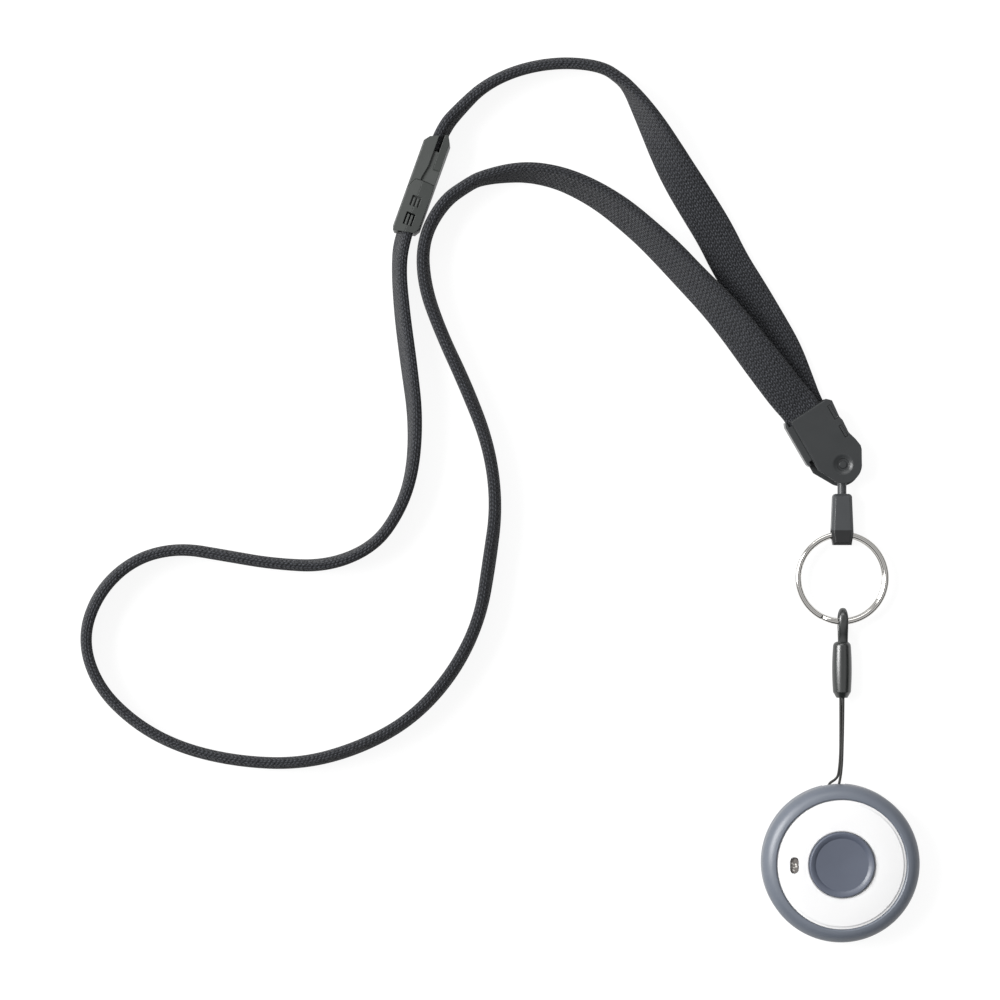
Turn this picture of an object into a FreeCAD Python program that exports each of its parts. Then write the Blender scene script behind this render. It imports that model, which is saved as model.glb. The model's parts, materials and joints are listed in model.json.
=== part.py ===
"""Wearable panic button on a breakaway neck lanyard, laid flat as it is put down on a table.

Millimetres. The origin is the middle of the pendant's back, which rests on the table. +Z comes out of the
button's face, and +Y runs from the pendant towards the lanyard's clamp.
"""

import FreeCAD, Part
import Sketcher
import math
import os

from FreeCAD import Placement, Rotation, Vector

UP = Vector(0, 0, 1)
ACROSS = Vector(1, 0, 0)
ALONG = Vector(0, 1, 0)

# Driving dimensions

SIZES = {
    # Pendant case
    "case_radius": 21.0,
    "case_floor": 1.4,
    "cavity_radius": 17.0,
    "parting_height": 5.2,
    "back_edge_radius": 2.4,
    "rim_side_height": 7.0,
    "rim_top": 10.5,
    "rim_crest_radius": 17.7,
    "rim_lip_drop": 0.35,
    "rim_outer_roll": 3.6,
    "rim_inner_roll": 0.6,
    "front_cavity_radius": 18.2,
    "deck_thickness": 1.2,
    "plate_seat": 9.4,
    # Screws and their bosses
    "boss_circle": 15.8,
    "boss_radius": 2.1,
    "screw_head_radius": 1.6,
    "screw_head_height": 1.1,
    "screw_head_recess": 1.5,
    "screw_shaft_radius": 0.75,
    "screw_length": 6.0,
    "screw_gap": 0.1,
    "thread_gap": 0.02,
    "cross_width": 0.4,
    "cross_depth": 0.5,
    # Seal in the joint between the two halves of the case
    "seal_circle": 19.5,
    "seal_width": 0.7,
    "seal_height": 0.66,
    "seal_gap": 0.02,
    # White face plate
    "plate_radius": 17.15,
    "plate_edge_thickness": 0.75,
    "plate_thickness": 1.0,
    "plate_crown": 0.35,
    "plate_bow": 62.0,
    "plate_bevel_radius": 16.5,
    "plate_gap": 0.1,
    # Button
    "button_radius": 8.75,
    "button_crest_inset": 0.4,
    "button_dish_inset": 1.75,
    "button_gap": 0.1,
    "button_height": 2.1,
    "button_dish_depth": 0.75,
    "button_roll": 3.0,
    "button_dish_bow": 90.0,
    "button_wall": 0.9,
    "button_flange_reach": 0.85,
    "button_flange_thickness": 0.8,
    "button_travel": 0.5,
    "button_post_radius": 1.8,
    # Indicator
    "indicator_x": -12.65,
    "indicator_y": -0.15,
    "indicator_width": 2.3,
    "indicator_length": 4.4,
    "indicator_sink": 0.45,
    "lens_gap": 0.1,
    "lens_flange": 0.5,
    "lens_flange_thickness": 0.6,
    "led_width": 1.6,
    "led_length": 3.2,
    "led_height": 0.8,
    # Circuit board and what it carries
    "board_radius": 17.9,
    "board_thickness": 1.0,
    "board_notch_gap": 0.25,
    "switch_side": 6.0,
    "switch_height": 1.6,
    "plunger_radius": 1.6,
    "plunger_length": 1.0,
    "plunger_gap": 0.06,
    "chip_side": 5.0,
    "chip_height": 0.9,
    "chip_x": 8.0,
    "chip_y": -9.0,
    "crystal_length": 4.6,
    "crystal_width": 2.6,
    "crystal_height": 0.8,
    "crystal_x": -7.0,
    "crystal_y": -10.5,
    "antenna_radius": 16.4,
    "antenna_width": 0.9,
    "antenna_height": 0.35,
    "antenna_start": 288.0,
    "antenna_sweep": 86.0,
    # Coin cell and its contacts
    "cell_radius": 10.0,
    "cell_thickness": 3.2,
    "cell_y": -2.0,
    "cell_gap": 0.2,
    "clip_width": 7.0,
    "clip_gauge": 0.2,
    "contact_width": 4.0,
    "contact_length": 14.0,
    "contact_button_radius": 1.5,
    # Corner slot with the bar that the cord goes round
    "slot_x": -1.5,
    "slot_width": 6.2,
    "slot_depth": 4.7,
    "slot_roof": 3.9,
    "slot_wall": 1.3,
    "bar_y": 18.6,
    "bar_height": 2.0,
    "bar_radius": 0.75,
    # Thin cord between the pendant and the bead
    "cord_diameter": 0.7,
    "cord_gap": 0.06,
    "cord_spread": 1.3,
    "cord_pair_gap": 0.06,
    # Line through the bead, the ring, the hook and the clamp's pivot
    "spine_x": 0.65,
    "spine_height": 3.2,
    "pivot_y": 106.3,
    "ring_y": 76.0,
    # Bead and its loop
    "bead_bottom": 44.0,
    "bead_length": 15.0,
    "bead_radius": 2.6,
    "bead_chamfer": 1.1,
    "bead_shoulder": 1.3,
    "bead_bore_depth": 4.5,
    "bead_side_inset": 0.2,
    "bead_bow": 80.0,
    "loop_width": 2.7,
    "loop_thickness": 1.05,
    "loop_inner_half": 1.6,
    "loop_tip": 68.05,
    "loop_tip_bow": 7.0,
    "loop_tip_half": 0.5,
    "loop_taper": 3.4,
    "loop_root_depth": 3.0,
    # Split ring
    "ring_radius": 12.5,
    "ring_wire_width": 1.55,
    "ring_wire_height": 1.2,
    "ring_coil_gap": 0.12,
    "ring_step_angle": 24.0,
    "ring_end_gap_angle": 3.0,
    "ring_end_angle": 233.0,
    # Hook
    "hook_bottom": 84.8,
    "hook_length": 13.7,
    "hook_top_width": 5.1,
    "hook_low_width": 5.9,
    "hook_thickness": 4.9,
    "hook_bevel": 0.75,
    "hook_corner": 1.0,
    "hook_foot_cut": 0.5,
    "hook_foot_height": 3.3,
    "hook_eye_offset": 2.85,
    "hook_eye_length": 3.3,
    "hook_eye_height": 3.2,
    # Swivel that turns on the clamp's pin and in the hook
    "eye_radius": 2.9,
    "eye_thickness": 2.6,
    "stem_radius": 1.2,
    "stem_gap": 0.07,
    "stem_head_radius": 1.7,
    "stem_head_length": 1.7,
    "stem_head_y": 92.4,
    "head_gap": 0.1,
    # Folding clamp
    "clamp_turn": 30.0,
    "clamp_plate": 0.85,
    "clamp_mouth": 16.9,
    "clamp_left": -6.5,
    "clamp_right": 6.0,
    "clamp_waist": 5.6,
    "clamp_waist_y": 6.8,
    "clamp_flare": 6.65,
    "clamp_flare_y": 2.1,
    "clamp_bevel": 0.3,
    "clamp_hinge_left": -8.3,
    "clamp_hinge_wall": 0.85,
    "clamp_hinge_start": 3.9,
    "clamp_lobe_radius": 5.05,
    "clamp_back_lobe": 5.3,
    "clamp_back_shift_x": -0.4,
    "clamp_back_shift_y": -0.3,
    "clamp_front_start": 2.0,
    "clamp_back_start": 1.75,
    "clamp_web": 0.35,
    "pin_radius": 1.0,
    "pin_gap": 0.05,
    "pin_head_radius": 1.9,
    "pin_head_thickness": 0.4,
    "pin_recess_radius": 1.65,
    "pin_recess_depth": 0.45,
    "pin_dish_radius": 2.9,
    "pin_dish_depth": 0.15,
    "pivot_boss_radius": 2.2,
    "pivot_side_gap": 0.08,
    "tongue_thickness": 0.8,
    "tongue_near_y": 7.7,
    "tongue_near_length": 3.3,
    "tongue_far_y": 13.5,
    "tongue_far_length": 4.0,
    "tongue_x": 4.65,
    "tongue_gap": 0.1,
    # Flat braided strap
    "strap_width": 10.6,
    "strap_thickness": 3.1,
    "strap_flat_thickness": 2.15,
    "strap_chamfer": 0.6,
    "strap_lift": 0.7,
    "strap_end_in_clamp": 4.6,
    "strap_rest_gap": 0.05,
    "long_clamp_x": -2.0,
    "short_clamp_x": -1.3,
    # Breakaway buckle
    "buckle_x": -116.2,
    "buckle_y": 167.8,
    "buckle_turn": -19.8,
    "buckle_thickness": 6.8,
    "buckle_height": 12.0,
    "buckle_wall": 0.9,
    "socket_length": 14.4,
    "plug_length": 13.1,
    "buckle_seam": 0.05,
    "strap_pocket": 4.4,
    "strap_gap": 0.1,
    "tongue_length": 9.0,
    "tongue_width": 4.1,
    "tongue_clearance": 0.1,
    "meet_gap": 0.1,
    "meet_bow": 24.0,
    "hump_x": -1.5,
    "hump_drop": 3.1,
    "hump_bow": 1.0,
    "socket_left_cut": 0.35,
    "socket_end_slant": 0.7,
    "socket_right_cut": 0.9,
    "plug_left_cut": 1.2,
    "plug_right_cut": 1.1,
    "plug_end_slant": 0.8,
    "roof_drop": 0.55,
    "step_depth": 0.7,
    "step_left": -0.7,
    "channel_left": 0.1,
    "channel_right": 1.5,
    "lid_start": 3.9,
    "near_window_y": 3.8,
    "near_window_length": 3.4,
    "far_window_y": 8.75,
    "far_window_length": 2.8,
    "window_width": 2.4,
    "window_bar": 0.58,
    "window_bar_sink": 0.2,
    "window_gap": 0.45,
    "edge_rounding": 0.4,
}

# The strap's route from the socket round the neck loop to the clamp: x and y of each point, on edge all the way
LONG_ON_EDGE = [
    (-114.9, 171.6), (-116.63, 166.8), (-118.0, 158.7), (-117.0, 146.2), (-115.2, 132.7), (-113.4, 118.7),
    (-114.1, 104.8), (-117.5, 94.2), (-124.4, 84.5), (-137.0, 79.2), (-151.5, 79.9), (-164.0, 82.1),
    (-176.7, 84.3), (-188.7, 81.2), (-198.1, 72.4), (-202.3, 60.0), (-198.3, 47.3), (-188.4, 37.4),
    (-176.2, 30.8), (-160.8, 27.2), (-144.1, 26.6), (-128.7, 30.7), (-114.5, 38.4), (-103.4, 50.6),
    (-96.3, 65.0), (-93.8, 80.3), (-91.8, 95.5), (-93.8, 111.4), (-99.9, 127.2), (-106.7, 141.6),
    (-111.1, 154.1), (-111.6, 166.2), (-106.2, 176.4), (-99.1, 181.3),
]

# The rest of that strap, which leans over until it lies flat: x, y, the height of its middle and its lean
LONG_TURNING = [
    (-95.8, 182.8, 6.0, 8.0), (-89.0, 184.2, 6.1, 16.0), (-82.6, 184.4, 6.1, 22.0), (-75.5, 183.0, 6.05, 26.0),
    (-69.0, 180.4, 6.0, 31.0), (-62.9, 177.0, 5.9, 35.0), (-57.4, 172.9, 5.75, 40.0), (-51.2, 167.6, 5.6, 43.0),
    (-45.6, 162.2, 5.4, 47.0), (-39.5, 155.8, 5.25, 50.0), (-33.3, 149.4, 5.1, 54.0), (-27.6, 142.6, 4.9, 60.0),
    (-22.6, 136.0, 4.95, 68.0), (-18.0, 130.1, 4.9, 78.0), (-14.1, 125.0, 4.65, 87.0),
]

# The short strap from the buckle's plug to the clamp, in the same two stretches
SHORT_ON_EDGE = [
    (-108.3, 189.8), (-106.1, 195.92), (-101.7, 201.2), (-95.1, 207.6), (-85.5, 212.0), (-74.3, 213.8),
    (-63.6, 212.6), (-58.5, 209.0),
]
SHORT_TURNING = [
    (-56.4, 206.8, 6.0, 8.0), (-53.6, 202.5, 6.05, 21.0), (-50.0, 196.5, 5.7, 36.0), (-46.6, 189.9, 5.0, 51.0),
    (-42.9, 183.2, 4.0, 66.0), (-38.1, 175.4, 2.85, 80.0), (-33.5, 167.8, 2.2, 88.0), (-29.2, 160.0, 2.0, 90.0),
    (-24.8, 151.9, 2.0, 90.0), (-20.1, 143.7, 2.0, 90.0), (-16.0, 136.0, 2.0, 90.0), (-12.4, 128.4, 2.0, 90.0),
]


class Size:
    """A length with the sheet's own expression for it, so that one sum gives both the number and its
    binding."""

    def __init__(self, number, words):
        self.number = number
        self.words = words

    def _with(self, other, sign, number):
        words = other.words if isinstance(other, Size) else repr(other)
        return Size(number, f"({self.words} {sign} {words})")

    def __float__(self):
        return float(self.number)

    def __add__(self, other):
        return self._with(other, "+", self.number + float(other))

    def __sub__(self, other):
        return self._with(other, "-", self.number - float(other))

    def __mul__(self, other):
        return self._with(other, "*", self.number * float(other))

    def __truediv__(self, other):
        return self._with(other, "/", self.number / float(other))

    def __neg__(self):
        return Size(-self.number, f"(0 - {self.words})")

    def __radd__(self, other):
        return self + other

    def __rsub__(self, other):
        return Size(float(other) - self.number, f"({other!r} - {self.words})")

    def __rmul__(self, other):
        return self * other


class Sizes:
    """Every alias of the sheet as a Size."""

    def __init__(self, sheet_name, numbers):
        for alias, number in numbers.items():
            setattr(self, alias, Size(number, f"{sheet_name}.{alias}"))


doc = FreeCAD.newDocument("panic_pendant")
sheet = doc.addObject("Spreadsheet::Sheet", "Sizes")
for row, (alias, number) in enumerate(SIZES.items(), start=1):
    sheet.set(f"A{row}", alias)
    sheet.set(f"B{row}", repr(number))
    sheet.setAlias(f"B{row}", alias)
doc.recompute()
s = Sizes("Sizes", SIZES)
nodes = {}


def bind(item, name, size):
    """Ties one property to the sheet, or sets it where it is a plain number."""
    if isinstance(size, Size):
        item.setExpression(name, size.words)
    else:
        item.setExpression(name, repr(float(size)))


def place(item, where, turn=None):
    """Puts an object at a bound place, turned by Rotation turn where one is given."""
    item.Placement = Placement(Vector(*[float(v) for v in where]), turn or Rotation())
    for letter, size in zip("xyz", where):
        bind(item, f"Placement.Base.{letter}", size)


def node(name, item):
    """Names a finished sub-part, which is written to a file of that name."""
    item.Label = name
    nodes[name] = item
    return item


def block(name, low, sides):
    """A box from its lowest corner and its three sides."""
    item = doc.addObject("Part::Box", name)
    for prop, size in zip(("Length", "Width", "Height"), sides):
        bind(item, prop, size)
    place(item, low)
    return item


def rod(name, base, radius, length, axis=UP):
    """A cylinder that starts at base and runs along axis."""
    item = doc.addObject("Part::Cylinder", name)
    bind(item, "Radius", radius)
    bind(item, "Height", length)
    place(item, base, Rotation(UP, axis))
    return item


def cone(name, base, low_radius, high_radius, length, axis=UP):
    """A cone that starts at base and runs along axis."""
    item = doc.addObject("Part::Cone", name)
    bind(item, "Radius1", low_radius)
    bind(item, "Radius2", high_radius)
    bind(item, "Height", length)
    place(item, base, Rotation(UP, axis))
    return item


def cut(name, base, *tools):
    """The base less every tool."""
    item = doc.addObject("Part::Cut", name)
    item.Base = base
    item.Tool = tools[0] if len(tools) == 1 else join(name + "_tools", *tools)
    return item


def join(name, *pieces):
    """The pieces as one solid."""
    item = doc.addObject("Part::MultiFuse", name)
    item.Shapes = list(pieces)
    item.Refine = True
    return item


def common(name, *pieces):
    """What the pieces share."""
    item = doc.addObject("Part::MultiCommon", name)
    item.Shapes = list(pieces)
    return item


def plane_of(body, role):
    """One of the body's own origin planes."""
    return next(f for f in body.Origin.OriginFeatures if f.Role == role)


def outline(body, name, role, corners, bends=None, lift=None):
    """A closed sketch on an origin plane, every corner bound to the sheet.

    bends gives, for the side that starts at a corner, the radius of an arc and the side it bulges to: 1 for an arc
    whose centre is on the left as the outline is walked, -1 for one on the right.
    """
    bends = bends or {}
    sketch = body.newObject("Sketcher::SketchObject", name)
    sketch.AttachmentSupport = [(plane_of(body, role), "")]
    sketch.MapMode = "FlatFace"
    if lift is not None:
        bind(sketch, "AttachmentOffset.Base.z", lift)
    flat = [Vector(float(x), float(y), 0) for x, y in corners]
    count = len(flat)
    for i, start in enumerate(flat):
        end = flat[(i + 1) % count]
        if i in bends:
            radius, side = bends[i]
            sketch.addGeometry(arc_between(start, end, float(radius), side), False)
        else:
            sketch.addGeometry(Part.LineSegment(start, end), False)
    first = [1 if bends.get(i, (0, 1))[1] > 0 else 2 for i in range(count)]
    for i in range(count):
        after = (i + 1) % count
        sketch.addConstraint(Sketcher.Constraint("Coincident", i, 3 - first[i], after, first[after]))
    for i, (x, y) in enumerate(corners):
        for kind, axis, size in (("DistanceX", -2, x), ("DistanceY", -1, y)):
            if not isinstance(size, Size) and float(size) == 0:
                sketch.addConstraint(Sketcher.Constraint("PointOnObject", i, first[i], axis))
                continue
            index = sketch.addConstraint(Sketcher.Constraint(kind, -1, 1, i, first[i], float(size)))
            if isinstance(size, Size):
                sketch.setExpression(f"Constraints[{index}]", size.words)
    for i, (radius, side) in bends.items():
        index = sketch.addConstraint(Sketcher.Constraint("Radius", i, float(radius)))
        if isinstance(radius, Size):
            sketch.setExpression(f"Constraints[{index}]", radius.words)
    return sketch


def arc_between(start, end, radius, side):
    """The shorter arc of a radius from start to end, with its centre on the left (side 1) or the right
    (side -1)."""
    chord = end - start
    half = chord.Length / 2
    reach = math.sqrt(max(radius**2 - half**2, 0))
    left = Vector(-chord.y, chord.x, 0).normalize()
    middle = (start + end) / 2 + left * (reach * side)
    a, b = ((p - middle) for p in (start, end))
    turn = [math.atan2(v.y, v.x) for v in (a, b)]
    if side < 0:
        turn.reverse()
    if turn[1] < turn[0]:
        turn[1] += 2 * math.pi
    return Part.ArcOfCircle(Part.Circle(middle, UP, radius), turn[0], turn[1])


def turned(name, corners, bends=None, role="XZ_Plane", axis="V_Axis"):
    """A body turned about its own axis from an outline of radius and height."""
    body = doc.addObject("PartDesign::Body", name)
    sketch = outline(body, name + "_profile", role, corners, bends)
    spin = body.newObject("PartDesign::Revolution", name + "_turn")
    spin.Profile = sketch
    spin.ReferenceAxis = (sketch, [axis])
    spin.Angle = 360
    doc.recompute()
    return body


def padded(name, corners, height, bends=None, role="XY_Plane", lift=None, both=False):
    """A body padded from an outline."""
    body = doc.addObject("PartDesign::Body", name)
    sketch = outline(body, name + "_outline", role, corners, bends, lift)
    pad = body.newObject("PartDesign::Pad", name + "_pad")
    pad.Profile = sketch
    bind(pad, "Length", height)
    pad.Midplane = both
    doc.recompute()
    return body


def round_edges(body, radius, wanted):
    """Fillets the edges that wanted picks, in a body."""
    doc.recompute()
    base = body.Tip
    names = [f"Edge{i}" for i, edge in enumerate(base.Shape.Edges, start=1) if wanted(edge)]
    fillet = body.newObject("PartDesign::Fillet", f"{body.Name}_round{len(body.Group)}")
    fillet.Base = (base, names)
    bind(fillet, "Radius", radius)
    body.Tip = fillet
    doc.recompute()
    return fillet


def bevel_edges(body, depth, wanted):
    """Chamfers the edges that wanted picks, in a body."""
    doc.recompute()
    base = body.Tip
    names = [f"Edge{i}" for i, edge in enumerate(base.Shape.Edges, start=1) if wanted(edge)]
    bevel = body.newObject("PartDesign::Chamfer", f"{body.Name}_bevel")
    bevel.Base = (base, names)
    bind(bevel, "Size", depth)
    body.Tip = bevel
    doc.recompute()
    return bevel


def ring_edge(radius, height):
    """Picks the round edge about the Z axis at a radius and a height."""

    def wanted(edge):
        curve = edge.Curve
        if not isinstance(curve, Part.Circle):
            return False
        middle = curve.Center
        off_axis = math.hypot(middle.x, middle.y)
        return (
            off_axis < 0.01
            and abs(curve.Radius - float(radius)) < 0.01
            and abs(middle.z - float(height)) < 0.01
        )

    return wanted


# Levels that several pieces of the pendant share

deck_bottom = s.plate_seat - s.deck_thickness
board_top = s.parting_height + s.board_thickness
switch_top = board_top + s.switch_height
plate_top = s.plate_seat + s.plate_thickness
button_top = s.plate_seat + s.button_height
flange_radius = s.button_radius + s.button_flange_reach
flange_top = s.plate_seat - s.button_gap
flange_bottom = flange_top - s.button_flange_thickness
plunger_top = flange_bottom - s.button_gap * 2
slot_back = s.case_radius - s.slot_depth
boss_angles = (30.0, 150.0, 270.0)


def boss_places():
    """Middle of each screw boss, as bound x and y."""
    return [
        (s.boss_circle * round(math.cos(math.radians(a)), 6), s.boss_circle * round(math.sin(math.radians(a)), 6))
        for a in boss_angles
    ]


def rear_case():
    """Shallow cup with screw bosses, a seal groove and a corner slot whose bar carries the cord."""
    cup = turned(
        "rear_cup",
        [(0, 0), (s.case_radius, 0), (s.case_radius, s.parting_height), (0, s.parting_height)],
    )
    round_edges(cup, s.back_edge_radius, ring_edge(s.case_radius, 0))
    hollow = rod("rear_hollow", (0, 0, s.case_floor), s.cavity_radius, s.parting_height)
    posts = [
        rod(f"rear_post_{i}", (x, y, 0), s.boss_radius, s.parting_height * 2)
        for i, (x, y) in enumerate(boss_places())
    ]
    bulkhead = block(
        "slot_bulkhead",
        (s.slot_x - s.slot_width / 2 - s.slot_wall, slot_back - s.slot_wall, 0),
        (s.slot_width + s.slot_wall * 2, s.case_radius, s.parting_height * 2),
    )
    open_space = cut("rear_space", hollow, *posts, bulkhead)
    groove_depth = s.seal_height + s.seal_gap * 2
    groove_reach = s.seal_width / 2 + s.seal_gap
    groove_outer = rod(
        "groove_outer", (0, 0, s.parting_height - groove_depth), s.seal_circle + groove_reach, groove_depth * 2
    )
    groove_inner = rod("groove_inner", (0, 0, 0), s.seal_circle - groove_reach, s.parting_height * 2)
    groove = cut("seal_groove", groove_outer, groove_inner)
    slot = block(
        "cord_slot",
        (s.slot_x - s.slot_width / 2, slot_back, -s.case_floor),
        (s.slot_width, s.slot_depth * 2, s.slot_roof + s.case_floor),
    )
    bar = rod(
        "cord_bar", (s.slot_x - s.slot_width / 2 - 0.5, s.bar_y, s.bar_height), s.bar_radius, s.slot_width + 1.0,
        ACROSS,
    )
    slot_with_bar = cut("cord_slot_round_bar", slot, bar)
    tools = [open_space, groove, slot_with_bar]
    for i, (x, y) in enumerate(boss_places()):
        tools.append(rod(f"rear_screw_hole_{i}", (x, y, -1.0), s.screw_shaft_radius + s.screw_gap, s.rim_top))
        tools.append(
            rod(
                f"rear_head_recess_{i}", (x, y, -1.0), s.screw_head_radius + s.screw_gap,
                s.screw_head_recess + 1.0,
            )
        )
    return node("rear_case", cut("RearCase", cup, *tools))


def front_case():
    """Grey-blue rim with a rounded shoulder, a recessed seat for the plate and a deck with the button's
    well."""
    lip = s.rim_top - s.rim_lip_drop
    inner = s.plate_radius + s.plate_gap
    well = flange_radius + s.button_gap * 2
    shell = turned(
        "front_shell",
        [
            (s.front_cavity_radius, s.parting_height),
            (s.case_radius, s.parting_height),
            (s.case_radius, s.rim_side_height),
            (s.rim_crest_radius, s.rim_top),
            (inner, lip),
            (inner, s.plate_seat),
            (well, s.plate_seat),
            (well, deck_bottom),
            (s.front_cavity_radius, deck_bottom),
        ],
        {2: (s.rim_outer_roll, 1), 3: (s.rim_inner_roll, 1)},
    )
    posts = [
        rod(f"front_post_{i}", (x, y, s.parting_height), s.boss_radius, deck_bottom - s.parting_height + 0.5)
        for i, (x, y) in enumerate(boss_places())
    ]
    pilots = [
        rod(f"front_pilot_{i}", (x, y, s.parting_height - 1.0), s.screw_shaft_radius + s.thread_gap,
            deck_bottom - s.parting_height + 1.3)
        for i, (x, y) in enumerate(boss_places())
    ]
    window = obround(
        "deck_window", s.indicator_x, s.indicator_y, deck_bottom - 1.0, s.indicator_width,
        s.indicator_length, 4.0,
    )
    return node("front_case", cut("FrontCase", join("front_solid", shell, *posts), *pilots, window))


def obround(name, x, y, z, width, length, height):
    """An upright slot shape with round ends, long along Y."""
    radius = width / 2
    straight = length - width
    core = block(name + "_core", (x - radius, y - straight / 2, z), (width, straight, height))
    ends = [
        rod(f"{name}_end_{i}", (x, y + straight * shift, z), radius, height) for i, shift in enumerate((-0.5, 0.5))
    ]
    return join(name, core, *ends)


def face_plate():
    """White disc with a low crown, a fine step near its edge, the button's hole and the indicator's
    window."""
    hole = s.button_radius + s.button_gap
    step_height = s.plate_seat + s.plate_edge_thickness
    disc = turned(
        "plate_disc",
        [
            (hole, s.plate_seat),
            (s.plate_radius, s.plate_seat),
            (s.plate_radius, step_height - 0.15),
            (s.plate_bevel_radius, step_height),
            (s.plate_bevel_radius, plate_top - 0.1),
            (s.plate_bevel_radius - 0.15, plate_top),
            (hole + 0.3, plate_top + s.plate_crown),
            (hole, plate_top + s.plate_crown - 0.25),
        ],
        {5: (s.plate_bow, 1)},
    )
    window = obround(
        "plate_window", s.indicator_x, s.indicator_y, s.plate_seat - 1.0, s.indicator_width,
        s.indicator_length, 4.0,
    )
    return node("face_plate", cut("FacePlate", disc, window))


def button_cap():
    """Round cap with a rolled rim and a dished top, hollow below, with a flange that the plate holds and
    a post."""
    inside = s.button_radius - s.button_wall
    ceiling = s.plate_seat + s.button_wall
    crest = button_top
    dish_edge = crest - s.button_dish_depth * 0.8
    dish_middle = crest - s.button_dish_depth - s.button_dish_depth * 0.35
    cap = turned(
        "ButtonCap",
        [
            (0, plunger_top),
            (s.button_post_radius, plunger_top),
            (s.button_post_radius, ceiling - 0.4),
            (inside, ceiling - 0.4),
            (inside, flange_bottom),
            (flange_radius, flange_bottom),
            (flange_radius, flange_top),
            (s.button_radius, flange_top),
            (s.button_radius, crest - s.button_wall),
            (s.button_radius - s.button_crest_inset, crest),
            (s.button_radius - s.button_dish_inset, dish_edge),
            (0, dish_middle),
        ],
        {8: (s.button_wall, 1), 9: (s.button_roll, 1), 10: (s.button_dish_bow, -1)},
    )
    return node("button_cap", cap)


def indicator_lens():
    """Clear rod that carries the light from the board up into the plate's window, held by a flange."""
    width = s.indicator_width - s.lens_gap * 2
    length = s.indicator_length - s.lens_gap * 2
    flange_low = deck_bottom - s.lens_flange_thickness
    rod_height = plate_top - s.indicator_sink - flange_low
    stem = obround("lens_stem", s.indicator_x, s.indicator_y, flange_low, width, length, rod_height)
    flange = obround(
        "lens_flange_ring", s.indicator_x, s.indicator_y, flange_low, width + s.lens_flange * 2,
        length + s.lens_flange * 2, s.lens_flange_thickness,
    )
    return node("indicator_lens", join("IndicatorLens", stem, flange))


def seal_ring():
    """Flat-sided rubber seal that lies in the rear case's groove."""
    low = s.parting_height - s.seal_height - s.seal_gap
    outer = rod("seal_outer", (0, 0, low), s.seal_circle + s.seal_width / 2, s.seal_height)
    inner = rod("seal_inner", (0, 0, 0), s.seal_circle - s.seal_width / 2, s.parting_height * 2)
    return node("seal_ring", cut("SealRing", outer, inner))


def case_screws():
    """Three small pan-head screws with cross recesses, in from the back."""
    low = s.screw_head_recess - s.screw_head_height
    pieces = []
    for i, (x, y) in enumerate(boss_places()):
        head = rod(f"screw_head_{i}", (x, y, low), s.screw_head_radius, s.screw_head_height)
        shaft = rod(f"screw_shaft_{i}", (x, y, low), s.screw_shaft_radius, s.screw_length + s.screw_head_height)
        arms = [
            block(
                f"screw_cross_{i}_{j}",
                (x - wide / 2, y - deep / 2, low - 1.0),
                (wide, deep, s.cross_depth + 1.0),
            )
            for j, (wide, deep) in enumerate(
                ((s.screw_head_radius * 1.3, s.cross_width), (s.cross_width, s.screw_head_radius * 1.3))
            )
        ]
        pieces.append(cut(f"screw_{i}", join(f"screw_solid_{i}", head, shaft), *arms))
    group = doc.addObject("Part::Compound", "CaseScrews")
    group.Links = pieces
    return node("case_screws", group)


def circuit_board():
    """Round board that rests on the rear case's edge, notched round the screw bosses."""
    disc = rod("board_disc", (0, 0, s.parting_height), s.board_radius, s.board_thickness)
    notches = [
        rod(f"board_notch_{i}", (x, y, 0), s.boss_radius + s.board_notch_gap, s.rim_top)
        for i, (x, y) in enumerate(boss_places())
    ]
    return node("circuit_board", cut("CircuitBoard", disc, *notches))


def switch_parts():
    """Push switch under the button: its square body on the board and the plunger that slides in it."""
    body = block(
        "switch_block", (-s.switch_side / 2, -s.switch_side / 2, board_top),
        (s.switch_side, s.switch_side, s.switch_height),
    )
    bore_bottom = plunger_top - s.plunger_length - s.button_travel - 0.1
    bore = rod("switch_bore", (0, 0, bore_bottom), s.plunger_radius + s.plunger_gap, s.rim_top)
    node("switch_body", cut("SwitchBody", body, bore))
    plunger = rod("SwitchPlunger", (0, 0, plunger_top - s.plunger_length), s.plunger_radius, s.plunger_length)
    node("switch_plunger", plunger)


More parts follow.
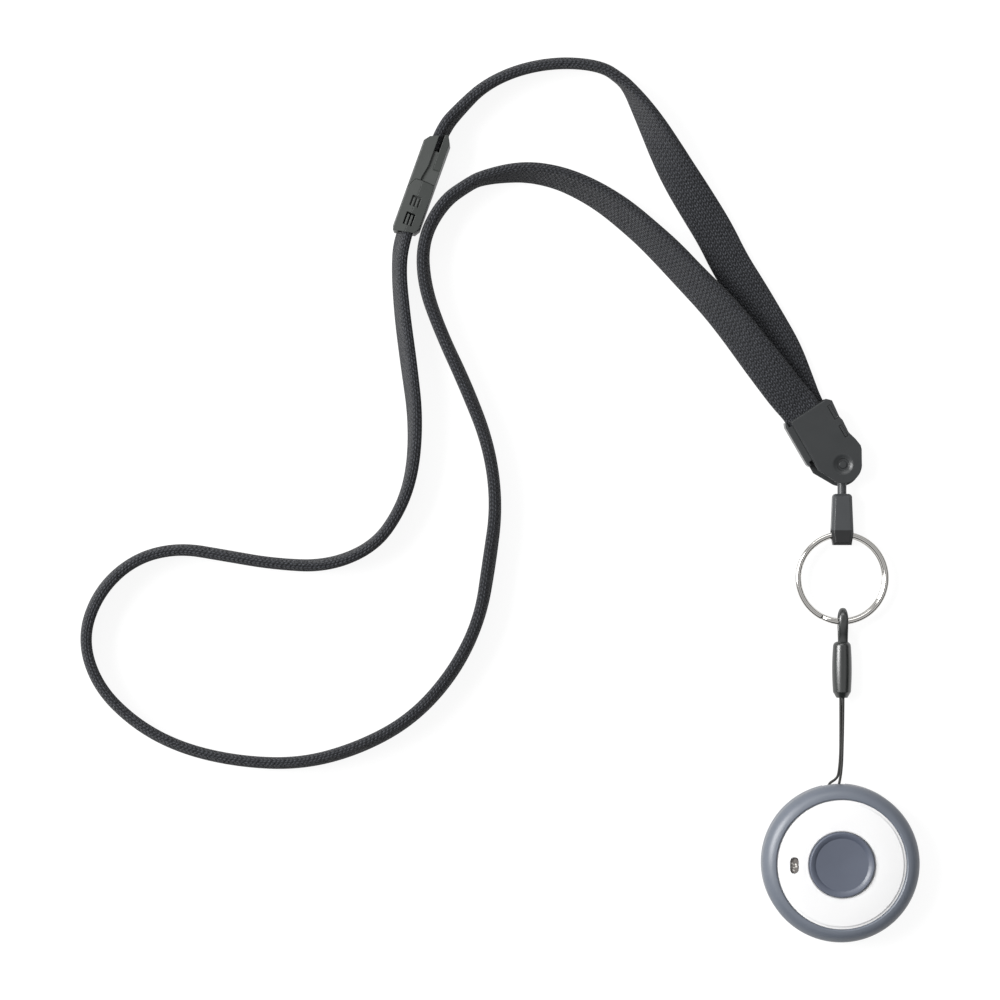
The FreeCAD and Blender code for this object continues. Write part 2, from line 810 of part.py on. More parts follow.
def board_parts():
    """Radio chip, crystal, light and the antenna strip, all on top of the board."""
    led = block(
        "IndicatorLed", (s.indicator_x - s.led_width / 2, s.indicator_y - s.led_length / 2, board_top),
        (s.led_width, s.led_length, s.led_height),
    )
    node("indicator_led", led)
    chip = block(
        "chip_block", (s.chip_x - s.chip_side / 2, s.chip_y - s.chip_side / 2, board_top),
        (s.chip_side, s.chip_side, s.chip_height),
    )
    mark = rod(
        "chip_mark",
        (s.chip_x - s.chip_side * 0.32, s.chip_y + s.chip_side * 0.32, board_top + s.chip_height - 0.1),
        s.chip_side * 0.07, 1.0,
    )
    node("radio_chip", cut("RadioChip", chip, mark))
    crystal = padded(
        "Crystal",
        [
            (s.crystal_length / 2, -s.crystal_width / 2), (s.crystal_length / 2, s.crystal_width / 2),
            (-s.crystal_length / 2, s.crystal_width / 2), (-s.crystal_length / 2, -s.crystal_width / 2),
        ],
        s.crystal_height,
    )
    place(crystal, (s.crystal_x, s.crystal_y, board_top))
    round_edges(crystal, 0.6, lambda e: abs(e.tangentAt(e.FirstParameter).z) > 0.9)
    node("crystal", crystal)
    strip = doc.addObject("Part::Cylinder", "antenna_outer")
    bind(strip, "Radius", s.antenna_radius + s.antenna_width)
    bind(strip, "Height", s.antenna_height)
    bind(strip, "Angle", s.antenna_sweep)
    strip.Placement = Placement(Vector(0, 0, float(board_top)), Rotation(UP, 0))
    bind(strip, "Placement.Base.z", board_top)
    bind(strip, "Placement.Rotation.Angle", s.antenna_start)
    inner = rod("antenna_inner", (0, 0, 0), s.antenna_radius, s.rim_top)
    node("antenna", cut("Antenna", strip, inner))


def cell_parts():
    """Coin cell with the clip below and round it, and the contact between it and the board."""
    cell_low = s.case_floor + s.clip_gauge
    body = turned(
        "CoinCell",
        [
            (0, 0), (s.cell_radius, 0), (s.cell_radius, s.cell_thickness * 0.8),
            (s.cell_radius - 0.9, s.cell_thickness * 0.85), (s.cell_radius - 1.2, s.cell_thickness),
            (0, s.cell_thickness),
        ],
    )
    place(body, (0, s.cell_y, cell_low))
    node("coin_cell", body)
    half = s.cell_radius + s.cell_gap
    low = (-half - s.clip_gauge, s.cell_y - s.clip_width / 2, s.case_floor)
    whole = (half * 2 + s.clip_gauge * 2, s.clip_width, s.parting_height - s.case_floor)
    outer = block("clip_outer", low, whole)
    inner = block("clip_inner", (-half, s.cell_y - s.clip_width, cell_low), (half * 2, s.clip_width * 2, s.rim_top))
    node("battery_clip", cut("BatteryClip", outer, inner))
    cell_top = cell_low + s.cell_thickness
    leaf = block(
        "contact_leaf",
        (-s.contact_length / 2, s.cell_y - s.contact_width / 2, s.parting_height - s.clip_gauge),
        (s.contact_length, s.contact_width, s.clip_gauge),
    )
    dimple = rod("contact_dimple", (0, s.cell_y, cell_top), s.contact_button_radius, s.parting_height - cell_top)
    node("battery_contact", join("BatteryContact", leaf, dimple))


def bead():
    """Turned bead with a chamfered lower end, round shoulders and a bore for the cord, and a slot for its
    loop."""
    bottom, top = s.bead_bottom, s.bead_bottom + s.bead_length
    pair = s.cord_diameter + s.cord_pair_gap / 2 + s.cord_gap
    turn = turned(
        "bead_turning",
        [
            (0, bottom),
            (s.bead_radius - s.bead_chamfer, bottom),
            (s.bead_radius - s.bead_side_inset, bottom + s.bead_chamfer * 1.4),
            (s.bead_radius - s.bead_side_inset, top - s.bead_shoulder),
            (s.bead_radius - s.bead_side_inset - s.bead_shoulder, top),
            (0, top),
        ],
        {2: (s.bead_bow, 1), 3: (s.bead_shoulder, 1)},
        role="XY_Plane",
    )
    place(turn, (s.spine_x, 0, s.spine_height))
    bore = rod("bead_bore", (s.spine_x, bottom - 1.0, s.spine_height), pair, s.bead_bore_depth + 1.0, ALONG)
    root = s.loop_thickness + s.cord_gap
    seat = block(
        "bead_loop_seat",
        (s.spine_x - s.loop_width / 2, top - s.loop_root_depth, s.spine_height - root),
        (s.loop_width, s.loop_root_depth + 1.0, root * 2),
    )
    return node("connector_bead", cut("ConnectorBead", turn, bore, seat))


def bead_loop():
    """Pointed loop moulded into the bead's upper end, which goes round the split ring's wire."""
    root = s.bead_bottom + s.bead_length - s.loop_root_depth
    top = s.bead_bottom + s.bead_length
    legs = s.loop_thickness + s.cord_gap
    wide = s.loop_inner_half + s.loop_thickness
    inner_tip = s.loop_tip - s.loop_thickness * 1.35
    wire = s.ring_y - s.ring_radius
    side = padded(
        "loop_side",
        [
            (root, -legs), (top, -legs), (wire - 1.0, -wide), (wire + 2.0, -wide), (s.loop_tip, 0),
            (wire + 2.0, wide), (wire - 1.0, wide), (top, legs), (root, legs),
        ],
        s.loop_width,
        {3: (wide * 1.08, 1), 4: (wide * 1.08, 1)},
        role="YZ_Plane",
        both=True,
    )
    place(side, (s.spine_x, 0, s.spine_height))
    inner = s.loop_inner_half
    hole = padded(
        "loop_hole",
        [
            (top + 0.4, -0.12), (wire - 0.9, -inner), (wire + 1.9, -inner), (inner_tip, 0), (wire + 1.9, inner),
            (wire - 0.9, inner), (top + 0.4, 0.12),
        ],
        s.loop_width * 2,
        {2: (inner * 1.15, 1), 3: (inner * 1.15, 1)},
        role="YZ_Plane",
        both=True,
    )
    place(hole, (s.spine_x, 0, s.spine_height))
    half = s.loop_width / 2
    plan = padded(
        "loop_plan",
        [
            (-half, root), (half, root), (half, s.loop_tip - s.loop_taper), (s.loop_tip_half, s.loop_tip - 0.25),
            (-s.loop_tip_half, s.loop_tip - 0.25), (-half, s.loop_tip - s.loop_taper),
        ],
        s.spine_height * 2.5,
        {2: (s.loop_tip_bow, 1), 3: (s.loop_tip_half * 1.15, 1), 4: (s.loop_tip_bow, 1)},
    )
    place(plan, (s.spine_x, 0, 0))
    shape = common("loop_common", side, plan)
    return node("connector_loop", cut("ConnectorLoop", shape, hole))


def hook():
    """Flat hook body with bevelled sides: an eye across it for the ring, and a bore with a room for the
    stem's head."""
    bottom, top = s.hook_bottom, s.hook_bottom + s.hook_length
    low, high, corner = s.hook_low_width / 2, s.hook_top_width / 2, s.hook_corner
    plan = padded(
        "hook_plan",
        [
            (s.hook_foot_cut - low, bottom),
            (low - s.hook_foot_cut, bottom),
            (low, bottom + s.hook_foot_height),
            (high, top - corner),
            (high - corner, top),
            (corner - high, top),
            (-high, top - corner),
            (-low, bottom + s.hook_foot_height),
        ],
        s.hook_thickness,
        {3: (corner, 1), 5: (corner, 1)},
    )
    place(plan, (s.spine_x, 0, s.spine_height - s.hook_thickness / 2))
    flat_top = float(s.hook_thickness)
    bevel = doc.addObject("Part::Chamfer", "hook_bevelled")
    bevel.Base = plan
    doc.recompute()
    edges = []
    for i, edge in enumerate(plan.Shape.Edges, start=1):
        heights = [v.Z - plan.Placement.Base.z for v in edge.Vertexes]
        on_face = all(abs(z - flat_top) < 0.01 or abs(z) < 0.01 for z in heights)
        if on_face and abs(heights[0] - heights[-1]) < 0.01:
            edges.append((i, float(s.hook_bevel), float(s.hook_bevel)))
    bevel.Edges = edges
    eye = obround_across(
        "hook_eye", bottom + s.hook_eye_offset, s.spine_height, s.hook_eye_length, s.hook_eye_height, 8.0
    )
    bore = rod(
        "hook_bore", (s.spine_x, s.stem_head_y, s.spine_height), s.stem_radius + s.stem_gap, s.hook_length, ALONG
    )
    room = rod(
        "hook_head_room", (s.spine_x, s.stem_head_y - s.head_gap, s.spine_height), s.stem_head_radius + s.head_gap,
        s.stem_head_length + s.head_gap * 2, ALONG,
    )
    return node("hook", cut("Hook", bevel, eye, bore, room))


def obround_across(name, y, z, length, height, width):
    """A slot shape through the hook along X, round at both ends along Y."""
    radius = height / 2
    straight = length - height
    core = block(
        name + "_core", (s.spine_x - width / 2, y - straight / 2, z - radius), (width, straight, height)
    )
    ends = [
        rod(f"{name}_end_{i}", (s.spine_x - width / 2, y + straight * shift, z), radius, width, ACROSS)
        for i, shift in enumerate((-0.5, 0.5))
    ]
    return join(name, core, *ends)


def swivel_eye():
    """Eye on the clamp's pin, with a stem down into the hook that ends in a head."""
    middle = s.spine_height
    eye = rod("eye_disc", (s.spine_x, s.pivot_y, middle - s.eye_thickness / 2), s.eye_radius, s.eye_thickness)
    head_top = s.stem_head_y + s.stem_head_length
    stem = rod("eye_stem", (s.spine_x, head_top - 0.2, middle), s.stem_radius, s.pivot_y - head_top - 1.5, ALONG)
    head = cone(
        "eye_head", (s.spine_x, s.stem_head_y, middle), s.stem_head_radius - 0.5, s.stem_head_radius,
        s.stem_head_length, ALONG,
    )
    hole = rod("eye_hole", (s.spine_x, s.pivot_y, 0), s.pin_radius + s.pin_gap, middle * 3)
    return node("swivel_eye", cut("SwivelEye", join("eye_solid", eye, stem, head), hole))


clamp_top = s.spine_height * 2
cover_bottom = clamp_top - s.clamp_plate


snap_tongues = (
    ("near", s.tongue_near_y, s.tongue_near_length),
    ("far", s.tongue_far_y, s.tongue_far_length),
)


def at_clamp(item):
    """Turns a piece drawn about the pivot, with +Y towards the strap, into the clamp's place."""
    item.Placement = Placement(Vector(float(s.spine_x), float(s.pivot_y), 0), Rotation(UP, float(s.clamp_turn)))
    bind(item, "Placement.Base.x", s.spine_x)
    bind(item, "Placement.Base.y", s.pivot_y)
    bind(item, "Placement.Rotation.Angle", s.clamp_turn)
    return item


def clamp_plate_body(name, left, start, lobe, shift_x, shift_y, low):
    """The plates' shared outline: a straight mouth, a waist, a flare and a round end about the pivot."""
    return padded(
        name,
        [
            (left, start),
            (shift_x - lobe * 0.78, shift_y - lobe * 0.625),
            (shift_x + lobe * 0.915, shift_y - lobe * 0.4),
            (s.clamp_flare - 0.3, s.clamp_flare_y - 1.05),
            (s.clamp_flare, s.clamp_flare_y),
            (s.clamp_flare - 0.3, s.clamp_flare_y + 2.0),
            (s.clamp_waist, s.clamp_waist_y),
            (s.clamp_waist + 0.25, s.clamp_waist_y + 3.5),
            (s.clamp_waist - 0.05, s.clamp_waist_y + 4.8),
            (s.clamp_right, s.clamp_mouth - 0.6),
            (s.clamp_right - 1.2, s.clamp_mouth + 0.6),
            (left, s.clamp_mouth),
        ],
        s.clamp_plate,
        {1: (lobe, 1)},
        lift=low,
    )


def clamp_back():
    """Tray: lower plate, the wall and thin web of the fold, the pivot's boss and two snap tongues."""
    plate = clamp_plate_body(
        "clamp_back_plate", s.clamp_hinge_left + 0.7, s.clamp_back_start, s.clamp_back_lobe, s.clamp_back_shift_x,
        s.clamp_back_shift_y, 0.0,
    )
    wall = padded(
        "clamp_fold_wall",
        [
            (s.clamp_hinge_left, s.clamp_hinge_start + 0.8),
            (s.clamp_hinge_left + 0.35, s.clamp_hinge_start),
            (s.clamp_hinge_left + s.clamp_hinge_wall, s.clamp_hinge_start),
            (s.clamp_hinge_left + s.clamp_hinge_wall, s.clamp_mouth + 0.3),
            (s.clamp_hinge_left + 0.5, s.clamp_mouth + 0.4),
            (s.clamp_hinge_left, s.clamp_mouth - 0.8),
        ],
        cover_bottom + s.clamp_web,
    )
    round_edges(
        wall, 0.45,
        lambda e: all(v.X < float(s.clamp_hinge_left) + 0.01 for v in e.Vertexes) and abs(e.tangentAt(0).y) > 0.9,
    )
    web = block(
        "clamp_fold_web",
        (s.clamp_hinge_left + s.clamp_hinge_wall - 0.2, s.clamp_hinge_start + 1.2, cover_bottom),
        (s.clamp_left - s.clamp_hinge_left - s.clamp_hinge_wall + 0.2, s.clamp_mouth - s.clamp_hinge_start - 2.4,
         s.clamp_web),
    )
    boss = rod(
        "back_boss", (0, 0, 0), s.pivot_boss_radius, s.spine_height - s.eye_thickness / 2 - s.pivot_side_gap
    )
    pieces = [plate, wall, web, boss]
    for label, y, length in snap_tongues:
        pieces.append(
            block(
                f"snap_tongue_{label}", (s.tongue_x - s.tongue_thickness / 2, y - length / 2, 0),
                (s.tongue_thickness, length, clamp_top - 0.15),
            )
        )
    solid = join("clamp_back_solid", *pieces)
    pin_hole = rod("back_pin_hole", (0, 0, -1.0), s.pin_radius + s.thread_gap, clamp_top)
    pin_seat = rod("back_pin_seat", (0, 0, -1.0), s.pin_head_radius + s.thread_gap, s.pin_head_thickness + 1.0)
    return node("clamp_back", at_clamp(cut("ClampBack", solid, pin_hole, pin_seat)))


def clamp_front():
    """Cover: upper plate with two snap windows, the pivot's boss and the shallow recess over the pin."""
    plate = clamp_plate_body(
        "clamp_front_plate", s.clamp_left, s.clamp_front_start, s.clamp_lobe_radius, 0.0, 0.0, cover_bottom
    )
    bevel_edges(
        plate, s.clamp_bevel,
        lambda e: all(abs(v.Z - float(clamp_top)) < 0.01 for v in e.Vertexes)
        and (
            all(v.X < float(s.clamp_left) + 0.01 for v in e.Vertexes)
            or all(v.Y > float(s.clamp_mouth) - 0.1 for v in e.Vertexes)
        ),
    )
    boss_low = s.spine_height + s.eye_thickness / 2 + s.pivot_side_gap
    boss = rod("front_boss", (0, 0, boss_low), s.pivot_boss_radius, cover_bottom - boss_low + 0.3)
    solid = join("clamp_front_solid", plate, boss)
    hole = rod("front_pin_hole", (0, 0, 0), s.pin_radius + s.thread_gap, clamp_top * 2)
    recess = rod("front_pin_recess", (0, 0, clamp_top - s.pin_recess_depth), s.pin_recess_radius, 1.0)
    dish = cone(
        "front_pin_dish", (0, 0, clamp_top - s.pin_dish_depth), s.pin_recess_radius, s.pin_dish_radius,
        s.pin_dish_depth,
    )
    windows = []
    for label, y, length in snap_tongues:
        windows.append(
            block(
                f"snap_window_{label}",
                (s.tongue_x - s.tongue_thickness / 2 - s.tongue_gap, y - length / 2 - s.tongue_gap, 0),
                (s.tongue_thickness + s.tongue_gap * 2, length + s.tongue_gap * 2, clamp_top * 2),
            )
        )
    return node("clamp_front", at_clamp(cut("ClampFront", solid, hole, recess, dish, *windows)))


def clamp_pin():
    """Rivet that holds the swivel's eye between the plates."""
    low = 0.05
    shaft = rod("pin_shaft", (0, 0, low), s.pin_radius, clamp_top - s.pin_recess_depth / 2 - low)
    head = rod("pin_head", (0, 0, low), s.pin_head_radius, s.pin_head_thickness - low)
    return node("clamp_pin", at_clamp(join("ClampPin", shaft, head)))


def at_buckle(item):
    """Turns a piece drawn with its lower end at the origin and +Y along the buckle into the buckle's
    place."""
    item.Placement = Placement(
        Vector(float(s.buckle_x), float(s.buckle_y), 0), Rotation(UP, float(s.buckle_turn))
    )
    bind(item, "Placement.Base.x", s.buckle_x)
    bind(item, "Placement.Base.y", s.buckle_y)
    bind(item, "Placement.Rotation.Angle", s.buckle_turn)
    return item


def buckle():
    """Breakaway buckle on edge: a socket with barred windows and a plug with a forked tongue, each with a
    lid."""
    half = s.buckle_thickness / 2
    height = s.buckle_height
    meet = s.socket_length
    end = s.socket_length + s.plug_length
    strap_half = s.strap_thickness / 2 + s.strap_gap
    strap_low = s.strap_lift - s.strap_gap
    strap_tall = s.strap_width + s.strap_gap * 2
    tongue_height = height - (s.buckle_wall + s.tongue_clearance) * 2

    socket = padded(
        "socket_outline",
        [
            (s.socket_left_cut - half, -s.socket_end_slant / 2),
            (half - s.socket_right_cut, s.socket_end_slant),
            (half, s.socket_end_slant + s.socket_right_cut * 1.6),
            (half, meet - 0.2),
            (s.hump_x, meet),
            (s.hump_x - 0.65, meet - 0.4),
            (-half, meet - s.hump_drop),
            (-half, s.socket_left_cut * 2),
        ],
        height,
        {3: (s.meet_bow, 1), 4: (s.hump_bow, 1)},
    )
    soften_long_edges(socket, height)
    mouth = block(
        "socket_mouth",
        (-s.tongue_width / 2 - s.tongue_clearance, meet - s.tongue_length - 0.4,
         (height - tongue_height) / 2 - s.tongue_clearance),
        (s.tongue_width + s.tongue_clearance * 2, s.tongue_length * 2, tongue_height + s.tongue_clearance * 2),
    )
    pocket = block(
        "socket_strap_pocket", (-strap_half, -5.0, strap_low), (strap_half * 2, s.strap_pocket + 5.0, strap_tall)
    )
    windows = [
        barred_window("near", s.near_window_y, s.near_window_length),
        barred_window("far", s.far_window_y, s.far_window_length),
    ]
    roof = roof_slope("socket_roof", half)
    socket_shell = cut("socket_shell", socket, mouth, pocket, roof, *windows)
    seam_side = block("socket_seam_side", (s.buckle_seam, -5.0, -1.0), (half * 3, end * 2, height * 2))
    node("breakaway_socket", at_buckle(cut("BreakawaySocket", socket_shell, seam_side)))
    node("breakaway_socket_lid", at_buckle(common("BreakawaySocketLid", socket_shell, seam_side)))

    low = meet + s.meet_gap
    plug = padded(
        "plug_outline",
        [
            (-half, low - s.hump_drop),
            (s.hump_x - 0.65, low - 0.4),
            (s.hump_x, low),
            (half, low - 0.2),
            (half, end + s.plug_end_slant - s.plug_right_cut * 1.9),
            (half - s.plug_right_cut, end + s.plug_end_slant),
            (s.plug_left_cut - half, end - s.plug_end_slant * 1.5),
            (-half, end - s.plug_end_slant * 1.5 - s.plug_left_cut * 1.25),
        ],
        height,
        {1: (s.hump_bow, -1), 2: (s.meet_bow, -1)},
    )
    soften_long_edges(plug, height)
    plug_pocket = block(
        "plug_strap_pocket", (-strap_half, end - s.strap_pocket, strap_low), (strap_half * 2, 20.0, strap_tall)
    )
    lid_low = meet + s.lid_start
    step = padded(
        "plug_step",
        [
            (s.step_left, meet - 1.0),
            (half + 1.0, meet - 1.0),
            (half + 1.0, lid_low),
            (s.channel_right, lid_low),
            (s.channel_right, end + 3.0),
            (s.channel_left, end + 3.0),
            (s.channel_left, lid_low + 0.6),
            (s.step_left + 0.15, meet + 1.2),
        ],
        s.step_depth * 2,
        lift=height - s.step_depth,
    )
    plug_roof = roof_slope("plug_roof", half)
    plug_shell = cut("plug_shell", plug, plug_pocket, step, plug_roof)
    lid_space = block("plug_lid_space", (s.channel_right, lid_low, -1.0), (half * 3, end * 2, height * 2))
    node("breakaway_plug_lid", at_buckle(common("BreakawayPlugLid", plug_shell, lid_space)))
    tongue = block(
        "plug_tongue",
        (-s.tongue_width / 2, meet - s.tongue_length, (height - tongue_height) / 2),
        (s.tongue_width, s.tongue_length + 2.0, tongue_height),
    )
    slit = block(
        "tongue_slit",
        (-s.tongue_width, meet - s.tongue_length - 1.0, height / 2 - tongue_height * 0.28),
        (s.tongue_width * 2, s.tongue_length * 0.85, tongue_height * 0.56),
    )
    base = cut("plug_base", plug_shell, lid_space)
    node("breakaway_plug", at_buckle(join("BreakawayPlug", base, cut("forked_tongue", tongue, slit))))


def barred_window(label, y, length):
    """The space of one window in the socket's top: its opening less two bars that lie a little below the
    face."""
    width, bar = s.window_width, s.window_bar
    low = s.buckle_height / 2
    left = s.buckle_seam - width / 2
    opening = block(f"window_{label}", (left, y - length / 2, low), (width, length, s.buckle_height))
    pitch = (width - bar * 2) / 3 + bar
    bars = [
        block(
            f"window_bar_{label}_{i}",
            (left + pitch * (i + 1) - bar, y - length, s.buckle_height - s.buckle_wall * 0.9),
            (bar, length * 1.5 - s.window_gap, s.buckle_wall * 0.9 - s.window_bar_sink),
        )
        for i in range(2)
    ]
    return cut(f"barred_window_{label}", opening, *bars)


def roof_slope(name, half):
    """The space above the buckle's right half, whose top falls away from the seam to the edge."""
    height = s.buckle_height
    return padded(
        name,
        [
            (s.buckle_seam, height),
            (half * 2, height - s.roof_drop * 2),
            (half * 2, height + 1.0),
            (s.buckle_seam, height + 1.0),
        ],
        s.socket_length * 6,
        role="XZ_Plane",
        both=True,
    )


def soften_long_edges(body, height):
    """Rounds a buckle half's edges along its top and bottom."""
    round_edges(
        body, s.edge_rounding,
        lambda e: abs(e.tangentAt(e.FirstParameter).y) > 0.98
        and all(abs(v.Z) < 0.01 or abs(v.Z - float(height)) < 0.01 for v in e.Vertexes)
        and e.Length > 3,
    )


def bent_path(points, name):
    """Straight runs joined by tangent arcs, each arc as large as its two runs allow. Prints the radii."""
    turns = []
    for a, b, c in zip(points, points[1:], points[2:]):
        into, out = (b - a), (c - b)
        turn = into.getAngle(out)
        reach = 0.45 * min(into.Length, out.Length)
        start, end = b - into.normalize() * reach, b + out.normalize() * reach
        turns.append((start, b, end, reach / math.tan(turn / 2), turn))
    edges = []
    here = points[0]
    for start, corner, end, radius, turn in turns:
        into = (corner - start).normalize()
        to_middle = ((start + end) / 2 - corner).normalize()
        middle = corner + to_middle * (radius / math.cos(turn / 2)) - to_middle * radius
        edges.append(Part.LineSegment(here, start).toShape())
        edges.append(Part.Arc(start, middle, end).toShape())
        here = end
    edges.append(Part.LineSegment(here, points[-1]).toShape())
    print(name, "arc radii", [round(t[3], 1) for t in turns])
    return Part.Wire(edges)


def strap_section(middle, ahead, lean, width, thickness):
    """The strap's eight-sided section across its direction, on edge at lean 0 and flat at lean 90
    degrees."""
    level = Vector(ahead.x, ahead.y, 0).normalize()
    side = UP.cross(level)
    angle = math.radians(lean)
    tall = UP * math.cos(angle) + side * math.sin(angle)
    thin = side * math.cos(angle) - UP * math.sin(angle)
    half, thick, cut_off = width / 2, thickness / 2, min(float(s.strap_chamfer), thickness / 3)
    ring = [
        (half, thick - cut_off), (half - cut_off, thick), (cut_off - half, thick), (-half, thick - cut_off),
        (-half, cut_off - thick), (cut_off - half, -thick), (half - cut_off, -thick), (half, cut_off - thick),
    ]
    corners = [middle + tall * a + thin * b for a, b in ring]
    return Part.makePolygon(corners + [corners[0]])


def strap(name, on_edge, turning, clamp_level, clamp_lane):
    """A flat strap: swept on edge along its route, then lofted while it leans over and runs into the
    clamp."""
    width, thickness = float(s.strap_width), float(s.strap_thickness)
    flat = float(s.strap_flat_thickness)
    level = float(s.strap_lift) + width / 2
    turn = math.radians(float(s.clamp_turn))
    reach = Vector(-math.sin(turn), math.cos(turn), 0)
    sideways = Vector(math.cos(turn), math.sin(turn), 0)
    pivot = Vector(float(s.spine_x), float(s.pivot_y), 0)
    lane = pivot + sideways * float(clamp_lane)
    mouth = lane + reach * (float(s.clamp_mouth) + 0.4) + UP * clamp_level
    last = lane + reach * float(s.strap_end_in_clamp) + UP * clamp_level

    route = [Vector(x, y, level) for x, y in on_edge]
    path = bent_path(route, name)
    start_way = path.Edges[0].tangentAt(path.Edges[0].FirstParameter)
    start_section = strap_section(route[0], start_way, 0, width, thickness)
    swept = path.makePipeShell([start_section], True, False)

    middles = [route[-1]] + [Vector(x, y, z) for x, y, z, lean in turning] + [mouth, last]
    leans = [0.0] + [lean for x, y, z, lean in turning] + [90.0, 90.0]
    ways = []
    for i, here in enumerate(middles):
        before = middles[i - 1] if i else route[-2]
        after = middles[i + 1] if i + 1 < len(middles) else here + (here - middles[i - 1])
        ways.append(route[-1] - route[-2] if i == 0 else after - before)
    ways[-2] = ways[-1] = last - mouth
    sections = []
    for here, way, lean in zip(middles, ways, leans):
        share = min(lean / 90.0, 1.0)
        sections.append(strap_section(here, way, lean, width, thickness + (flat - thickness) * share))
    lofted = Part.makeLoft(sections, True, True)
    solid = swept.fuse(lofted).removeSplitter()
    area = Part.Face(start_section).Area
    length = path.Length
    print(name, "swept volume over section times length", round(swept.Volume / (area * length), 4))
    whole = length + sum((b - a).Length for a, b in zip(middles, middles[1:]))
    print(name, "length", round(whole, 1))
    item = doc.addObject("Part::Feature", name)
    item.Shape = solid
    item.Placement = Placement()
    return node(name, item)


def cord_loop():
    """Thin cord from the bead round the pendant's bar and back: one unbroken tube whose two strands lie
    side by side."""
    radius = float(s.cord_diameter) / 2
    bar = Vector(0, float(s.bar_y), float(s.bar_height))
    around = float(s.bar_radius) + float(s.cord_gap) + radius
    middle = float(s.slot_x)
    left = middle - float(s.cord_spread)
    pair = radius + float(s.cord_pair_gap) / 2
    spine, level = float(s.spine_x), float(s.spine_height)
    top = float(s.bead_bottom) + float(s.bead_bore_depth) - 0.3
    high, low, back = bar.z + around, bar.z - around, bar.y - around
    # down from the bead on the right, over the bar, round it, and up again on the left and behind
    span = top - bar.y
    points = [
        Vector(spine + pair, top, level),
        Vector(spine + pair - 0.03, top - span * 0.243, level),
        Vector(spine + pair - 0.2, bar.y + span * 0.47, level + 0.1),
        Vector(spine - 0.03, bar.y + span * 0.233, high + 0.25),
        Vector(spine - 0.6, bar.y + span * 0.098, high + 0.05),
        Vector(middle + 0.55, back, high),
        Vector(middle - 1.15, back, low),
        Vector(left - 0.2, bar.y + span * 0.071, low + 0.1),
        Vector(spine - 1.4, bar.y + span * 0.128, low + 0.65),
        Vector(spine - 0.6, bar.y + span * 0.205, low + 1.15),
        Vector(spine - 0.35, bar.y + span * 0.335, level - 0.55),
        Vector(spine - pair + 0.03, top - span * 0.46, level - 0.12),
        Vector(spine - pair + 0.02, top - span * 0.233, level),
        Vector(spine - pair, top, level),
    ]
    path = bent_path(points, "cord_loop")
    way = path.Edges[0].tangentAt(path.Edges[0].FirstParameter)
    circle = Part.Wire([Part.Circle(points[0], way, radius).toShape()])
    tube = path.makePipeShell([circle], True, False)
    swept = math.pi * radius**2 * path.Length
    print("cord_loop volume over section times length", round(tube.Volume / swept, 4))
    print("cord_loop length", round(path.Length, 1))
    item = doc.addObject("Part::Feature", "cord_loop")
    item.Shape = tube
    item.Placement = Placement()
    return node("cord_loop", item)


def split_ring():
    """Two turns of flat wire, joined by a short step, with the wire's ends a small gap from it."""
    outer = float(s.ring_radius)
    width = float(s.ring_wire_width)
    tall = float(s.ring_wire_height)
    gap = float(s.ring_coil_gap)
    step = float(s.ring_step_angle)
    end_gap = float(s.ring_end_gap_angle)
    start = float(s.ring_end_angle)
    rise = tall + gap
    edge = 0.28

    def section(angle, low):
        """The wire's section at an angle round the ring, its lower face at height low."""
        inner = outer - width
        ring = [
            (inner, low + edge), (inner + edge, low), (outer - edge, low), (outer, low + edge),
            (outer, low + tall - edge), (outer - edge, low + tall), (inner + edge, low + tall),
            (inner, low + tall - edge),
        ]
        turn = Rotation(UP, angle)
        corners = [turn.multVec(Vector(r, 0, z)) for r, z in ring]
        return Part.makePolygon(corners + [corners[0]])

    low_a = -tall - gap / 2
    low_b = gap / 2
    arc = 360.0 - step / 2 - end_gap
    lower = Part.Face(section(start - arc, low_a)).revolve(Vector(0, 0, 0), UP, arc)
    upper = Part.Face(section(start + step, low_b)).revolve(Vector(0, 0, 0), UP, arc)
    count = 5
    stages = [
        section(start + step * i / (count - 1), low_a + rise * (1 - math.cos(math.pi * i / (count - 1))) / 2)
        for i in range(count)
    ]
    climb = Part.makeLoft(stages, True, True)
    solid = lower.fuse([climb, upper])
    item = doc.addObject("Part::Feature", "split_ring")
    item.Shape = solid
    item.Placement = Placement(Vector(float(s.spine_x), float(s.ring_y), float(s.spine_height)), Rotation())
    return node("split_ring", item)


def check_and_write():
    """Stops if any object failed or any sub-part isn't a sound solid, then writes one file for each
    sub-part."""
    doc.recompute()
    for item in doc.Objects:
        bad = [word for word in item.State if word in ("Invalid", "Error")]
        if bad:
            raise RuntimeError(f"{item.Name} is {bad}")
    for name, item in nodes.items():
        shape = item.Shape
        if shape.isNull() or not shape.isValid() or not shape.Solids:
            raise RuntimeError(f"{name} has no sound solid")
    os.makedirs("parts", exist_ok=True)
    for name, item in nodes.items():
        item.Shape.exportStep(f"parts/{name}.step")
        box = item.Shape.BoundBox
        print(
            f"{name:22s} solids {len(item.Shape.Solids)} volume {item.Shape.Volume:9.2f}"
            f" x {box.XMin:8.2f} {box.XMax:8.2f} y {box.YMin:8.2f} {box.YMax:8.2f}"
            f" z {box.ZMin:6.2f} {box.ZMax:6.2f}"
        )


rear_case()
front_case()
face_plate()
button_cap()
indicator_lens()
seal_ring()
case_screws()
circuit_board()
switch_parts()
board_parts()
cell_parts()
bead()
bead_loop()
hook()
swivel_eye()
clamp_back()
clamp_front()
clamp_pin()
buckle()
split_ring()
cord_loop()
seated = s.clamp_plate + s.strap_flat_thickness / 2 + s.strap_rest_gap
strap("strap_long", LONG_ON_EDGE, LONG_TURNING, float(clamp_top - seated), s.long_clamp_x)
strap("strap_short", SHORT_ON_EDGE, SHORT_TURNING, float(seated), s.short_clamp_x)
check_and_write()
